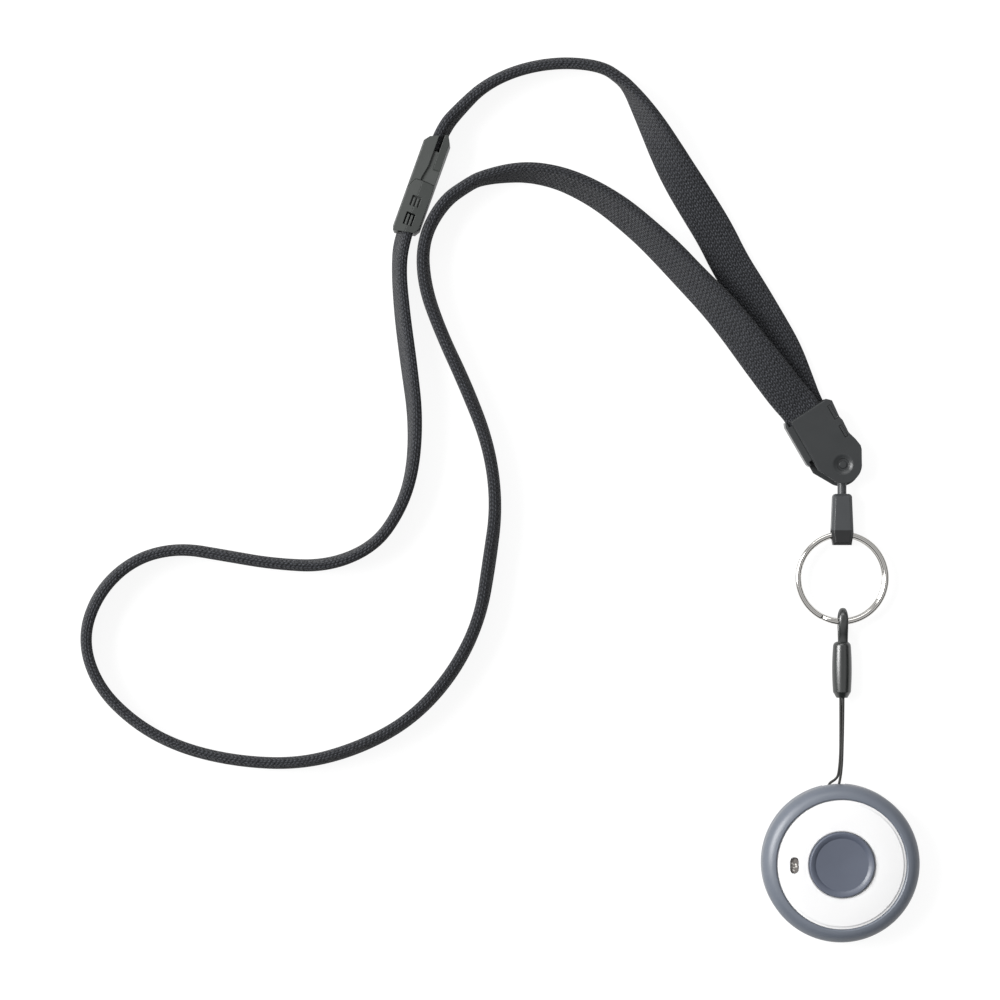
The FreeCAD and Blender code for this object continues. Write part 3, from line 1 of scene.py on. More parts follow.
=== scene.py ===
import json
import math

import bpy
import numpy as np
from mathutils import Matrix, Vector


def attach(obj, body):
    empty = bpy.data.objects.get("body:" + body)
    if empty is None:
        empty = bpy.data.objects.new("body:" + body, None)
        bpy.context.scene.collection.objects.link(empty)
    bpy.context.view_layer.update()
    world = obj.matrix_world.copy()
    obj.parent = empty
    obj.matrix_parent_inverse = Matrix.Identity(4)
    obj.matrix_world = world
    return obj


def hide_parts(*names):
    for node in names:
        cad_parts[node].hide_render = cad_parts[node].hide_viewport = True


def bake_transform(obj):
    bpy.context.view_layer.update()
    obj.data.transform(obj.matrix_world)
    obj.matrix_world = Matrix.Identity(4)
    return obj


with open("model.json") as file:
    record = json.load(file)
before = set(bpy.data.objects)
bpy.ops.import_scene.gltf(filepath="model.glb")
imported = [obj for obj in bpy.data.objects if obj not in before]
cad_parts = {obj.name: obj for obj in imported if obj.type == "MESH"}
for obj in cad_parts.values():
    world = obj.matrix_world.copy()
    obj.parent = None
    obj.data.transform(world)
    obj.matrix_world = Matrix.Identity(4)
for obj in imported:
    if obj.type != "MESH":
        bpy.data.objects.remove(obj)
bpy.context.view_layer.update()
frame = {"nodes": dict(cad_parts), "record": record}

# Places and sizes that the new pieces share with the solids, in millimetres

MM = 0.001
SPINE_X = 0.65
SPINE_HEIGHT = 3.2
RING_Y = 76.0
PIVOT = (SPINE_X, 106.3)
CLAMP_TURN = math.radians(30.0)
STRAP_WIDTH = 10.6
STRAP_THICKNESS = 3.1
STRAP_FLAT_THICKNESS = 2.15
STRAP_LEVEL = 6.0

# The straps' routes, in millimetres and degrees. Where a strap stands on edge a point gives x, y
# and lean, and where it turns flat x, y, height and lean. The lean is 0 on edge and 90 flat.

LONG_ON_EDGE = [
    (-114.9, 171.6, 12.1), (-116.88, 166.86, 17.1), (-117.86, 158.7, 10.5), (-116.89, 146.21, 14.0),
    (-115.08, 132.71, 15.3), (-113.29, 118.7, 11.1), (-113.99, 104.78, 6.3), (-117.36, 94.13, 2.8),
    (-124.29, 84.35, 2.7), (-136.98, 79.1, 2.9), (-151.51, 79.84, -1.2), (-164.02, 82.02, -0.3),
    (-176.7, 84.16, -0.5), (-188.61, 81.04, 2.2), (-197.94, 72.29, 8.1), (-202.19, 60.0, 7.0),
    (-198.28, 47.32, 7.2), (-188.42, 37.37, 6.5), (-176.21, 30.75, 5.6), (-160.81, 27.1, 5.1),
    (-144.08, 26.41, 6.4), (-128.64, 30.54, 8.8), (-114.39, 38.26, 6.2), (-103.28, 50.52, 6.9),
    (-96.13, 64.95, 2.9), (-93.65, 80.28, 7.8), (-91.63, 95.5, 3.0), (-93.73, 111.42, 3.5),
    (-99.88, 127.21, 7.1), (-106.63, 141.63, 3.9), (-111.05, 154.11, 6.7), (-111.5, 166.18, 1.1),
    (-106.05, 176.28, 3.4), (-99.01, 181.16, 1.7),
]
LONG_TURNING = [
    (-95.77, 182.68, 6.0, 3.9), (-88.97, 184.01, 6.1, 12.8), (-82.61, 184.28, 6.1, 18.0),
    (-75.52, 182.94, 6.05, 22.4), (-69.03, 180.34, 6.0, 27.4), (-62.95, 176.92, 5.9, 31.7),
    (-57.4, 172.91, 5.75, 37.2), (-51.21, 167.59, 5.6, 38.9), (-45.58, 162.22, 5.4, 45.3),
    (-39.54, 155.77, 5.25, 46.4), (-33.3, 149.4, 5.1, 52.3), (-27.6, 142.6, 4.9, 58.8),
    (-22.6, 136.0, 4.95, 67.3), (-18.0, 130.1, 4.9, 78.0), (-14.1, 125.0, 4.65, 87.0),
]
SHORT_ON_EDGE = [
    (-108.3, 189.8, 5.7), (-106.03, 195.88, 6.4), (-101.54, 201.05, 1.5), (-94.99, 207.44, -5.0),
    (-85.45, 211.84, -6.6), (-74.3, 213.65, -6.0), (-63.62, 212.55, -7.5), (-58.49, 209.01, -4.4),
]
SHORT_TURNING = [
    (-56.43, 206.78, 6.0, 2.1), (-53.59, 202.51, 6.05, 17.4), (-50.01, 196.49, 5.7, 33.7),
    (-46.5, 189.96, 5.0, 49.1), (-42.74, 183.3, 4.0, 64.2), (-37.84, 175.56, 2.85, 79.9),
    (-33.14, 168.01, 2.2, 90), (-29.2, 160.0, 2.0, 90.0), (-24.25, 152.2, 2.0, 90.0),
    (-19.45, 144.1, 2.0, 90.0), (-15.1, 136.5, 2.0, 90.0), (-12.1, 128.6, 2.0, 90.0),
]

# The sockets of a Mix node that serve its colours
MIX_SHARE, MIX_A, MIX_B, MIX_RESULT = 0, 6, 7, 2

WHITE = (1.0, 1.0, 1.0, 1.0)


def linear(r, g, b):
    """Linear colour of an 8-bit screen colour."""
    out = []
    for c in (r, g, b):
        c = c / 255.0
        out.append(c / 12.92 if c <= 0.04045 else ((c + 0.055) / 1.055) ** 2.4)
    return (out[0], out[1], out[2], 1.0)


def clamp_point(across, along, height):
    """A point in the clamp's own plan, turned about the pivot, in millimetres."""
    return (
        PIVOT[0] + across * math.cos(CLAMP_TURN) - along * math.sin(CLAMP_TURN),
        PIVOT[1] + across * math.sin(CLAMP_TURN) + along * math.cos(CLAMP_TURN),
        height,
    )


# Shader helpers


class Nodes:
    """The node tree of a new material or world, built with one call per node."""

    def __init__(self, owner):
        """Empties the owner's tree."""
        owner.use_nodes = True
        self.owner = owner
        self.tree = owner.node_tree
        self.tree.nodes.clear()

    def add(self, kind, **values):
        """A new node with the given settings."""
        made = self.tree.nodes.new(kind)
        for key, value in values.items():
            setattr(made, key, value)
        return made

    def link(self, source, target):
        """Joins one node's output to another's input."""
        self.tree.links.new(source, target)

    def feed(self, socket, value):
        """Gives an input a link or a plain value."""
        if isinstance(value, bpy.types.NodeSocket):
            self.link(value, socket)
        else:
            socket.default_value = value

    def math(self, operation, a, b=0.0, c=0.0):
        """Arithmetic on up to three values."""
        made = self.add("ShaderNodeMath", operation=operation)
        for socket, value in zip(made.inputs, (a, b, c)):
            self.feed(socket, value)
        return made.outputs[0]

    def mix(self, share, a, b):
        """Colour a where share is 0 and colour b where it is 1."""
        made = self.add("ShaderNodeMix", data_type="RGBA")
        self.feed(made.inputs[MIX_SHARE], share)
        self.feed(made.inputs[MIX_A], a)
        self.feed(made.inputs[MIX_B], b)
        return made.outputs[MIX_RESULT]

    def noise(self, vector, scale, detail=2.0, roughness=0.5):
        """Noise from 0 to 1, with the given number of waves in a metre."""
        made = self.add("ShaderNodeTexNoise")
        self.link(vector, made.inputs["Vector"])
        made.inputs["Scale"].default_value = scale
        made.inputs["Detail"].default_value = detail
        made.inputs["Roughness"].default_value = roughness
        return made.outputs[0]

    def place(self):
        """The point on the piece, in metres."""
        return self.add("ShaderNodeTexCoord").outputs["Object"]

    def parts(self, vector):
        """A vector's three numbers."""
        made = self.add("ShaderNodeSeparateXYZ")
        self.link(vector, made.inputs[0])
        return made.outputs

    def smooth(self, value, low, high):
        """0 at low, 1 at high and a smooth step between them."""
        made = self.add("ShaderNodeMapRange", interpolation_type="SMOOTHSTEP")
        self.link(value, made.inputs["Value"])
        made.inputs["From Min"].default_value = low
        made.inputs["From Max"].default_value = high
        return made.outputs[0]

    def away(self, vector, centre, stretch=(1.0, 1.0, 0.0)):
        """Distance from a centre in plan, with each direction scaled."""
        offset = self.add("ShaderNodeVectorMath", operation="SUBTRACT")
        self.link(vector, offset.inputs[0])
        offset.inputs[1].default_value = (centre[0], centre[1], 0.0)
        scaled = self.add("ShaderNodeVectorMath", operation="MULTIPLY")
        self.link(offset.outputs[0], scaled.inputs[0])
        scaled.inputs[1].default_value = stretch
        length = self.add("ShaderNodeVectorMath", operation="LENGTH")
        self.link(scaled.outputs[0], length.inputs[0])
        return length.outputs["Value"]

    def bump(self, height, strength, distance):
        """A normal tilted by a height whose full step is distance, in metres."""
        made = self.add("ShaderNodeBump")
        made.inputs["Strength"].default_value = strength
        made.inputs["Distance"].default_value = distance
        self.link(height, made.inputs["Height"])
        return made.outputs[0]

    def surface(self, colour, roughness, metallic=0.0, normal=None, sheen=0.0, specular=0.5):
        """The material's shader and output."""
        shader = self.add("ShaderNodeBsdfPrincipled")
        self.feed(shader.inputs["Base Color"], colour)
        self.feed(shader.inputs["Roughness"], roughness)
        shader.inputs["Metallic"].default_value = metallic
        shader.inputs["Specular IOR Level"].default_value = specular
        shader.inputs["Sheen Weight"].default_value = sheen
        if normal is not None:
            self.link(normal, shader.inputs["Normal"])
        out = self.add("ShaderNodeOutputMaterial")
        self.link(shader.outputs[0], out.inputs["Surface"])


# Materials, in metres

PLASTIC_DRIFT_SCALE = 240.0
PLASTIC_GLOSS_SWING = 0.12
PLASTIC_GRAIN_DEPTH = 0.00004
# Softness of the edge of the painted shade on the hook's lower part
FOOT_SHADE_SOFTNESS = 0.0002
DISH_DEPTH = 0.00025
DISH_FLAT_SHARE = 0.55
BEVEL_SAMPLES = 6


def plastic(
    name,
    colour,
    roughness,
    grain=0.12,
    grain_size=9000.0,
    specular=0.5,
    edge=0.0,
    shift=0.06,
    dish=None,
    foot_shade=None,
):
    """Moulded plastic: a fine grain, and slow drifts of gloss and, by the share shift, of colour.

    Corners are softly rounded where edge gives a radius. A dish is a shallow round hollow, given by
    its middle and radius. A foot shade is painted shade on the lower part, darker below a given y,
    given by that y and its colour.
    """
    n = Nodes(bpy.data.materials.new(name))
    place = n.place()
    slow = n.noise(place, PLASTIC_DRIFT_SCALE)
    base = linear(*colour)
    darker = tuple(c * (1.0 - shift) for c in base[:3]) + (1.0,)
    lighter = tuple(min(c * (1.0 + shift), 1.0) for c in base[:3]) + (1.0,)
    tone = n.mix(slow, darker, lighter)
    gloss = n.math("MULTIPLY_ADD", slow, PLASTIC_GLOSS_SWING, roughness - PLASTIC_GLOSS_SWING / 2)
    # Painted shade: below the given y the lower part is darkened to the given colour
    if foot_shade:
        start, foot_shade_colour = foot_shade
        below = n.smooth(n.parts(place)[1], start, start - FOOT_SHADE_SOFTNESS)
        tone = n.mix(below, tone, linear(*foot_shade_colour))
    normal = n.bump(n.noise(place, grain_size, 1.0), grain, PLASTIC_GRAIN_DEPTH)
    under = None
    if edge:
        rounded = n.add("ShaderNodeBevel", samples=BEVEL_SAMPLES)
        rounded.inputs["Radius"].default_value = edge
        under = rounded.outputs[0]
    if dish:
        middle, radius = dish
        rise = n.smooth(n.away(place, middle), radius * DISH_FLAT_SHARE, radius)
        hollow = n.bump(rise, 1.0, DISH_DEPTH)
        if under:
            n.link(under, hollow.node.inputs["Normal"])
        under = hollow
    if under:
        n.link(under, normal.node.inputs["Normal"])
    n.surface(tone, gloss, normal=normal, specular=specular)
    return n.owner


FACET_SCALE = 1900.0
FACET_DARK_FROM, FACET_BRIGHT_TO = 0.55, 0.2
FACET_DEPTH = 0.0001
# Colours of the clear lens: painted shade and painted highlight on its facets, and painted shade
# for the border round them
FACET_SHADE, FACET_HIGHLIGHT = (98, 94, 90), (220, 217, 212)
LENS_BORDER_SHADE = (98, 94, 91)
LENS_BORDER_FROM, LENS_BORDER_TO = 0.00065, 0.00085
LENS_LONG_SHARE = 0.5


def light_pipe(name, centre):
    """Clear moulded light pipe over a dark well: a border of painted shade round facets of painted
    highlight and painted shade.
    """
    n = Nodes(bpy.data.materials.new(name))
    place = n.place()
    cells = n.add("ShaderNodeTexVoronoi", feature="F1")
    n.link(place, cells.inputs["Vector"])
    cells.inputs["Scale"].default_value = FACET_SCALE
    facet_highlight_share = n.smooth(cells.outputs["Distance"], FACET_DARK_FROM, FACET_BRIGHT_TO)
    # Facets of painted highlight and painted shade, inside a border of painted shade
    painted_facets = n.mix(facet_highlight_share, linear(*FACET_SHADE), linear(*FACET_HIGHLIGHT))
    outward = n.away(place, centre, (1.0, LENS_LONG_SHARE, 0.0))
    border_shade = n.smooth(outward, LENS_BORDER_FROM, LENS_BORDER_TO)
    colour = n.mix(border_shade, painted_facets, linear(*LENS_BORDER_SHADE))
    n.surface(colour, 0.3, normal=n.bump(facet_highlight_share, 0.4, FACET_DEPTH))
    return n.owner


METAL_DRIFT_SCALE = 500.0
METAL_GLOSS_SWING = 0.08
SCRATCH_SCALE = 1500.0
SCRATCH_STRETCH = 12.0
SCRATCH_DEPTH = 0.00003


def metal(name, colour, roughness, brushed=0.0):
    """Plain metal with faint drifts of gloss, and fine scratches along X where brushed is given."""
    n = Nodes(bpy.data.materials.new(name))
    place = n.place()
    slow = n.noise(place, METAL_DRIFT_SCALE)
    gloss = n.math("MULTIPLY_ADD", slow, METAL_GLOSS_SWING, roughness - METAL_GLOSS_SWING / 2)
    normal = None
    if brushed:
        stretch = n.add("ShaderNodeMapping")
        stretch.inputs["Scale"].default_value = (1.0, SCRATCH_STRETCH, SCRATCH_STRETCH)
        n.link(place, stretch.inputs["Vector"])
        scratches = n.noise(stretch.outputs[0], SCRATCH_SCALE, 1.0)
        normal = n.bump(scratches, brushed, SCRATCH_DEPTH)
    n.surface(linear(*colour), gloss, metallic=1.0, normal=normal)
    return n.owner


RUN_SCALE = 380.0
RUN_HALF_WIDTH = 0.08
RUN_HEIGHT = 0.00004


def board(name, colour, trace):
    """Circuit board: solder mask over copper runs laid in steps, with a faint gloss."""
    n = Nodes(bpy.data.materials.new(name))
    cells = n.add("ShaderNodeTexVoronoi", feature="DISTANCE_TO_EDGE", distance="MANHATTAN")
    n.link(n.place(), cells.inputs["Vector"])
    cells.inputs["Scale"].default_value = RUN_SCALE
    line = n.math("LESS_THAN", cells.outputs["Distance"], RUN_HALF_WIDTH)
    normal = n.bump(line, 0.3, RUN_HEIGHT)
    n.surface(n.mix(line, linear(*colour), linear(*trace)), 0.4, normal=normal)
    return n.owner


WEAVE_MAP = "weave"
COLUMN_WIDTH = 0.00125
STITCH_LENGTH = 0.00115
STITCH_SLANT = 0.9
STITCH_DRIFT_SCALE = 900.0
STITCH_DRIFT = 0.8
STITCH_DEPTH = 0.0003
RIDGE_POWER, COLUMN_POWER, CREST_HIGHLIGHT_POWER = 0.8, 0.6, 2.0
FUZZ_SCALE, FUZZ_DETAIL, FUZZ_ROUGHNESS = 2600.0, 3.0, 0.75
FUZZ_GAIN, FUZZ_OFFSET = 2.4, -0.6
FUZZ_HEIGHT = 0.3


def braid(name, dark, light):
    """Tubular braid: columns of V stitches along the strap, each half a stitch out of step.

    A stitch is a sine over its length times a sine across each half column, both flattened by a
    power. The light colour is a painted highlight on each stitch's crest, broken up by fine fuzz.
    """
    n = Nodes(bpy.data.materials.new(name))
    weave = n.parts(n.add("ShaderNodeUVMap", uv_map=WEAVE_MAP).outputs[0])
    along, across = weave[0], weave[1]
    drift = n.noise(n.place(), STITCH_DRIFT_SCALE)
    column = n.math("DIVIDE", across, COLUMN_WIDTH)
    inside = n.math("FRACT", column)
    odd = n.math("MODULO", n.math("FLOOR", column), 2.0)
    leg = n.math("ABSOLUTE", n.math("SUBTRACT", inside, 0.5))
    phase = n.math("MULTIPLY_ADD", leg, STITCH_SLANT, n.math("MULTIPLY", odd, 0.5))
    phase = n.math("MULTIPLY_ADD", drift, STITCH_DRIFT, phase)
    stitch = n.math("FRACT", n.math("ADD", n.math("DIVIDE", along, STITCH_LENGTH), phase))
    ridge = n.math("SINE", n.math("MULTIPLY", stitch, math.pi))
    half_column = n.math("FRACT", n.math("MULTIPLY", inside, 2.0))
    rounded = n.math("SINE", n.math("MULTIPLY", half_column, math.pi))
    ridge = n.math("POWER", ridge, RIDGE_POWER)
    rounded = n.math("POWER", rounded, COLUMN_POWER)
    height = n.math("MULTIPLY", ridge, rounded)
    fuzz = n.noise(n.place(), FUZZ_SCALE, FUZZ_DETAIL, FUZZ_ROUGHNESS)
    highlight_spot = n.math("MAXIMUM", n.math("MULTIPLY_ADD", fuzz, FUZZ_GAIN, FUZZ_OFFSET), 0.0)
    # Painted highlight: the light colour on the stitches' crests, in spots broken by fuzz
    crest_highlight = n.math("MULTIPLY", n.math("POWER", height, CREST_HIGHLIGHT_POWER), highlight_spot)
    colour = n.mix(crest_highlight, linear(*dark), linear(*light))
    normal = n.bump(n.math("MULTIPLY_ADD", fuzz, FUZZ_HEIGHT, height), 1.0, STITCH_DEPTH)
    n.surface(colour, 0.9, normal=normal, sheen=0.1, specular=0.2)
    return n.owner


FLOOR_GLOW = 0.9
FLOOR_PAPER = 0.15


def white_floor():
    """White from above to the camera and to reflections, with a diffuse share for the soft shadow.

    It is clear from below and to all other light, which comes from the world.
    """
    n = Nodes(bpy.data.materials.new("floor_white"))
    path = n.add("ShaderNodeLightPath").outputs
    below = n.add("ShaderNodeNewGeometry").outputs["Backfacing"]
    seen = n.math("MAXIMUM", path["Is Camera Ray"], path["Is Glossy Ray"])
    seen = n.math("MAXIMUM", seen, path["Is Transmission Ray"])
    seen = n.math("MULTIPLY", seen, n.math("SUBTRACT", 1.0, below))
    glow = n.add("ShaderNodeEmission")
    glow.inputs["Color"].default_value = WHITE
    glow.inputs["Strength"].default_value = FLOOR_GLOW
    paper = n.add("ShaderNodeBsdfDiffuse")
    paper.inputs["Color"].default_value = (FLOOR_PAPER, FLOOR_PAPER, FLOOR_PAPER, 1.0)
    both = n.add("ShaderNodeAddShader")
    n.link(glow.outputs[0], both.inputs[0])
    n.link(paper.outputs[0], both.inputs[1])
    clear = n.add("ShaderNodeBsdfTransparent")
    mixed = n.add("ShaderNodeMixShader")
    n.link(seen, mixed.inputs[0])
    n.link(clear.outputs[0], mixed.inputs[1])
    n.link(both.outputs[0], mixed.inputs[2])
    out = n.add("ShaderNodeOutputMaterial")
    n.link(mixed.outputs[0], out.inputs["Surface"])
    return n.owner


# The hook's painted shade on its lower part, the clamp's hollow round the pin and the lens's middle
FOOT_SHADE = (0.0889, (22, 23, 24))
HOLLOW = ((PIVOT[0] * MM, PIVOT[1] * MM), 0.0029)
LENS_MIDDLE = (-0.01265, -0.00015)

MATERIALS = {
    "case_grey_blue": plastic("case_grey_blue", (94, 100, 110), 0.42, 0.08, specular=0.75),
    "button_grey_blue": plastic("button_grey_blue", (77, 83, 97), 0.42, 0.08, specular=0.75),
    "plate_white": plastic("plate_white", (224, 224, 224), 0.45, 0.05, shift=0.01),
    "lens_clear": light_pipe("lens_clear", LENS_MIDDLE),
    "seal_rubber": plastic("seal_rubber", (40, 40, 40), 0.8),
    "screw_steel": metal("screw_steel", (170, 170, 172), 0.35, 0.2),
    "board_laminate": board("board_laminate", (35, 110, 60), (60, 140, 80)),
    "chip_black": plastic("chip_black", (40, 40, 42), 0.6, 0.3),
    "switch_white": plastic("switch_white", (225, 225, 220), 0.5, shift=0.02),
    "led_white": plastic("led_white", (230, 225, 200), 0.4, shift=0.02),
    "can_metal": metal("can_metal", (175, 175, 178), 0.3, 0.2),
    "antenna_copper": metal("antenna_copper", (200, 150, 110), 0.35, 0.2),
    "cell_steel": metal("cell_steel", (180, 182, 184), 0.3, 0.2),
    "contact_metal": metal("contact_metal", (205, 195, 165), 0.35, 0.2),
    "bead_plastic": plastic("bead_plastic", (27, 30, 29), 0.3, 0.03, specular=1.0, edge=0.0002),
    "hook_plastic": plastic("hook_plastic", (57, 59, 61), 0.38, 0.04, edge=0.0003, foot_shade=FOOT_SHADE),
    "clamp_plastic": plastic("clamp_plastic", (42, 44, 45), 0.33, 0.05, edge=0.0003, dish=HOLLOW),
    "buckle_plastic": plastic("buckle_plastic", (48, 51, 49), 0.5, 0.08, edge=0.00025),
    "ring_nickel": metal("ring_nickel", (202, 200, 196), 0.12),
    "cord_black": plastic("cord_black", (40, 40, 38), 0.7, 0.6, 4000.0, shift=0.2),
    # The braid's light colour is a painted highlight on the stitch crests
    "strap_braid": braid("strap_braid", (26, 27, 30), (80, 82, 87)),
}

slots = {item["node"]: item["material_slot"] for item in frame["record"]["subparts"]}
for name, obj in frame["nodes"].items():
    obj.data.materials.clear()
    obj.data.materials.append(MATERIALS[slots[name]])


# Surfaces

LINE_STEPS = 12


def spline_points(points, name):
    """Points along a quadratic spline whose control polygon is the given points, as an array."""
    curve = bpy.data.curves.new(name, "CURVE")
    curve.dimensions = "3D"
    spline = curve.splines.new("NURBS")
    spline.points.add(len(points) - 1)
    for item, here in zip(spline.points, points):
        item.co = (here[0], here[1], here[2], 1.0)
    spline.order_u = 3
    spline.use_endpoint_u = True
    spline.resolution_u = LINE_STEPS
    holder = bpy.data.objects.new(name, curve)
    bpy.context.scene.collection.objects.link(holder)
    bpy.context.view_layer.update()
    mesh = bpy.data.meshes.new_from_object(holder)
    out = np.zeros(len(mesh.vertices) * 3)
    mesh.vertices.foreach_get("co", out)
    bpy.data.objects.remove(holder)
    bpy.data.meshes.remove(mesh)
    return out.reshape(-1, 3)


def in_metres(points):
    """Points in millimetres, as tuples in metres."""
    return [tuple(c * MM for c in p) for p in points]


def unit(rows):
    """Each row divided by its own length."""
    return rows / np.maximum(np.linalg.norm(rows, axis=1, keepdims=True), 1e-12)


def circle(count):
    """Cosine and sine of evenly spaced angles, once round."""
    turns = np.linspace(0.0, 2.0 * np.pi, count + 1)[:-1]
    return np.cos(turns), np.sin(turns)


def add_tube(name, grid, body, material, weave=None):
    """A closed tube from a grid of points in metres, with a row for each section and capped ends.

    A weave gives the texture map: the run at each row, and the distance round the section at each
    column and back at the first. With no body, the piece is left unattached.
    """
    rows, columns = grid.shape[:2]
    i, j = np.meshgrid(np.arange(rows - 1), np.arange(columns), indexing="ij")
    here, beside = i * columns + j, i * columns + (j + 1) % columns
    quads = np.stack([here, beside, beside + columns, here + columns], axis=-1).reshape(-1, 4)
    first_cap = list(reversed(range(columns)))
    last_cap = list(range((rows - 1) * columns, rows * columns))
    mesh = bpy.data.meshes.new(name)
    faces = quads.tolist() + [first_cap, last_cap]
    mesh.from_pydata(grid.reshape(-1, 3).tolist(), [], faces)
    if weave is not None:
        run, round_section = weave
        corners = [(i, j), (i, j + 1), (i + 1, j + 1), (i + 1, j)]
        uv = np.stack([np.stack([run[a], round_section[b]], axis=-1) for a, b in corners], axis=2)
        flat = np.zeros(len(mesh.loops) * 2)
        flat[: uv.size] = uv.reshape(-1)
        mesh.uv_layers.new(name=WEAVE_MAP).data.foreach_set("uv", flat)
    mesh.polygons.foreach_set("use_smooth", [True] * len(mesh.polygons))
    mesh.materials.append(material)
    obj = bpy.data.objects.new(name, mesh)
    bpy.context.scene.collection.objects.link(obj)
    if body:
        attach(obj, body)
    return obj


# Straps

STRAP_SIDES = 40
CLAMP_MOUTH, STRAP_END_IN_CLAMP = 17.3, 4.6
WIDTH_POWER, THICKNESS_POWER = 5.0, 2.6
LONG_LANE, LONG_CLAMP_LEVEL = -2.0, 4.42
SHORT_LANE, SHORT_CLAMP_LEVEL = -1.3, 1.98


def strap_mesh(name, on_edge, turning, lane, clamp_level, body):
    """A flat braid along its route, into its lane of the clamp.

    At each point of the middle line the section is a rounded rectangle that stands on edge and
    leans over towards the right of its way until it lies flat, where it is thinner. Its outline is
    a superellipse, with one power across the width and a lower one through the thickness.
    """
    mouth = clamp_point(lane, CLAMP_MOUTH, clamp_level)
    last = clamp_point(lane, STRAP_END_IN_CLAMP, clamp_level)
    control = [(x, y, STRAP_LEVEL) for x, y, lean in on_edge]
    control += [(x, y, z) for x, y, z, lean in turning] + [mouth, last]
    leans = [row[-1] for row in on_edge + turning] + [90.0, 90.0]
    line = spline_points(in_metres(control), name + "_line")
    lean = spline_points([(v, i, 0.0) for i, v in enumerate(leans)], name + "_lean")[:, 0]
    ahead = unit(np.gradient(line, axis=0) * np.array([1.0, 1.0, 0.0]))
    up = np.array([0.0, 0.0, 1.0])
    side = np.cross(up, ahead)
    angle = np.radians(np.minimum(lean, 90.0))[:, None]
    tall = up * np.cos(angle) + side * np.sin(angle)
    thin = side * np.cos(angle) - up * np.sin(angle)
    share = np.clip(lean / 90.0, 0.0, 1.0)[:, None]
    thinner = (STRAP_FLAT_THICKNESS - STRAP_THICKNESS) * share
    half_thickness = (STRAP_THICKNESS + thinner) / 2 * MM
    cos, sin = circle(STRAP_SIDES)
    across = STRAP_WIDTH / 2 * MM * np.sign(cos) * np.abs(cos) ** (2.0 / WIDTH_POWER)
    through = np.sign(sin) * np.abs(sin) ** (2.0 / THICKNESS_POWER)
    grid = line[:, None, :] + tall[:, None, :] * across[None, :, None]
    grid = grid + thin[:, None, :] * (half_thickness[:, None, :] * through[None, :, None])
    steps = np.linalg.norm(np.diff(line, axis=0), axis=1)
    outline = np.stack([across, through * STRAP_THICKNESS / 2 * MM], axis=1)
    sides = np.linalg.norm(np.roll(outline, -1, axis=0) - outline, axis=1)
    weave = [np.concatenate([[0.0], np.cumsum(lengths)]) for lengths in (steps, sides)]
    obj = add_tube(name, grid, body, MATERIALS["strap_braid"], weave)
    return obj, line


long_obj, long_line = strap_mesh(
    "strap_long_braid", LONG_ON_EDGE, LONG_TURNING, LONG_LANE, LONG_CLAMP_LEVEL, "lanyard"
)
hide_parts("strap_long")
short_obj, short_line = strap_mesh(
    "strap_short_braid", SHORT_ON_EDGE, SHORT_TURNING, SHORT_LANE, SHORT_CLAMP_LEVEL, None
)
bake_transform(short_obj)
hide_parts("strap_short")

# Thin cord: down from the bead, round the bar in the pendant's slot and back up

SLOT_X, BAR_Y, BAR_HEIGHT, BAR_RADIUS = -1.5, 18.6, 2.0, 0.75
CORD_RADIUS = 0.35
CORD_GAP = 0.06
CORD_SIDES = 14
AROUND_BAR = BAR_RADIUS + CORD_GAP + CORD_RADIUS
PAIR_GAP = 0.06
PAIR = CORD_RADIUS + PAIR_GAP / 2
BEAD_BOTTOM, BORE_DEPTH, BORE_END_GAP = 44.0, 4.5, 0.3
TOP = BEAD_BOTTOM + BORE_DEPTH - BORE_END_GAP
HIGH, LOW = BAR_HEIGHT + AROUND_BAR, BAR_HEIGHT - AROUND_BAR
SPAN = TOP - BAR_Y
CORD = [
    (SPINE_X + PAIR, TOP, SPINE_HEIGHT),
    (SPINE_X + PAIR - 0.03, TOP - SPAN * 0.243, SPINE_HEIGHT),
    (SPINE_X + PAIR - 0.2, BAR_Y + SPAN * 0.47, SPINE_HEIGHT + 0.1),
    (SPINE_X - 0.03, BAR_Y + SPAN * 0.233, HIGH + 0.25),
    (SPINE_X - 0.6, BAR_Y + SPAN * 0.098, HIGH + 0.05),
    (SLOT_X + 0.55, BAR_Y - AROUND_BAR, HIGH),
    (SLOT_X - 1.15, BAR_Y - AROUND_BAR, LOW),
    (SLOT_X - 1.5, BAR_Y + SPAN * 0.071, LOW + 0.1),
    (SPINE_X - 1.12, BAR_Y + SPAN * 0.122, LOW + 0.65),
    (SPINE_X - 0.66, BAR_Y + SPAN * 0.19, LOW + 1.15),
    (SPINE_X - 0.35, BAR_Y + SPAN * 0.335, SPINE_HEIGHT - 0.55),
    (SPINE_X - PAIR + 0.03, TOP - SPAN * 0.46, SPINE_HEIGHT - 0.12),
    (SPINE_X - PAIR + 0.02, TOP - SPAN * 0.233, SPINE_HEIGHT),
    (SPINE_X - PAIR, TOP, SPINE_HEIGHT),
]


def cord_mesh():
    """A round tube along a spline: circles square to the line, carried along without twist."""
    line = spline_points(in_metres(CORD), "cord_loop_line_line")
    ahead = unit(np.gradient(line, axis=0))
    side = np.zeros_like(ahead)
    first = np.cross(ahead[0], [0.0, 0.0, 1.0])
    side[0] = first / np.linalg.norm(first)
    for i in range(1, len(line)):
        flat = side[i - 1] - ahead[i] * np.dot(side[i - 1], ahead[i])
        side[i] = flat / np.linalg.norm(flat)
    other = np.cross(ahead, side)
    cos, sin = circle(CORD_SIDES)
    outward = side[:, None, :] * cos[None, :, None] + other[:, None, :] * sin[None, :, None]
    grid = line[:, None, :] + CORD_RADIUS * MM * outward
    return add_tube("cord_loop_line", grid, "connector", MATERIALS["cord_black"]), line


cord_obj, cord_line = cord_mesh()
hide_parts("cord_loop")

# Bead's loop, in the plane across the ring's wire

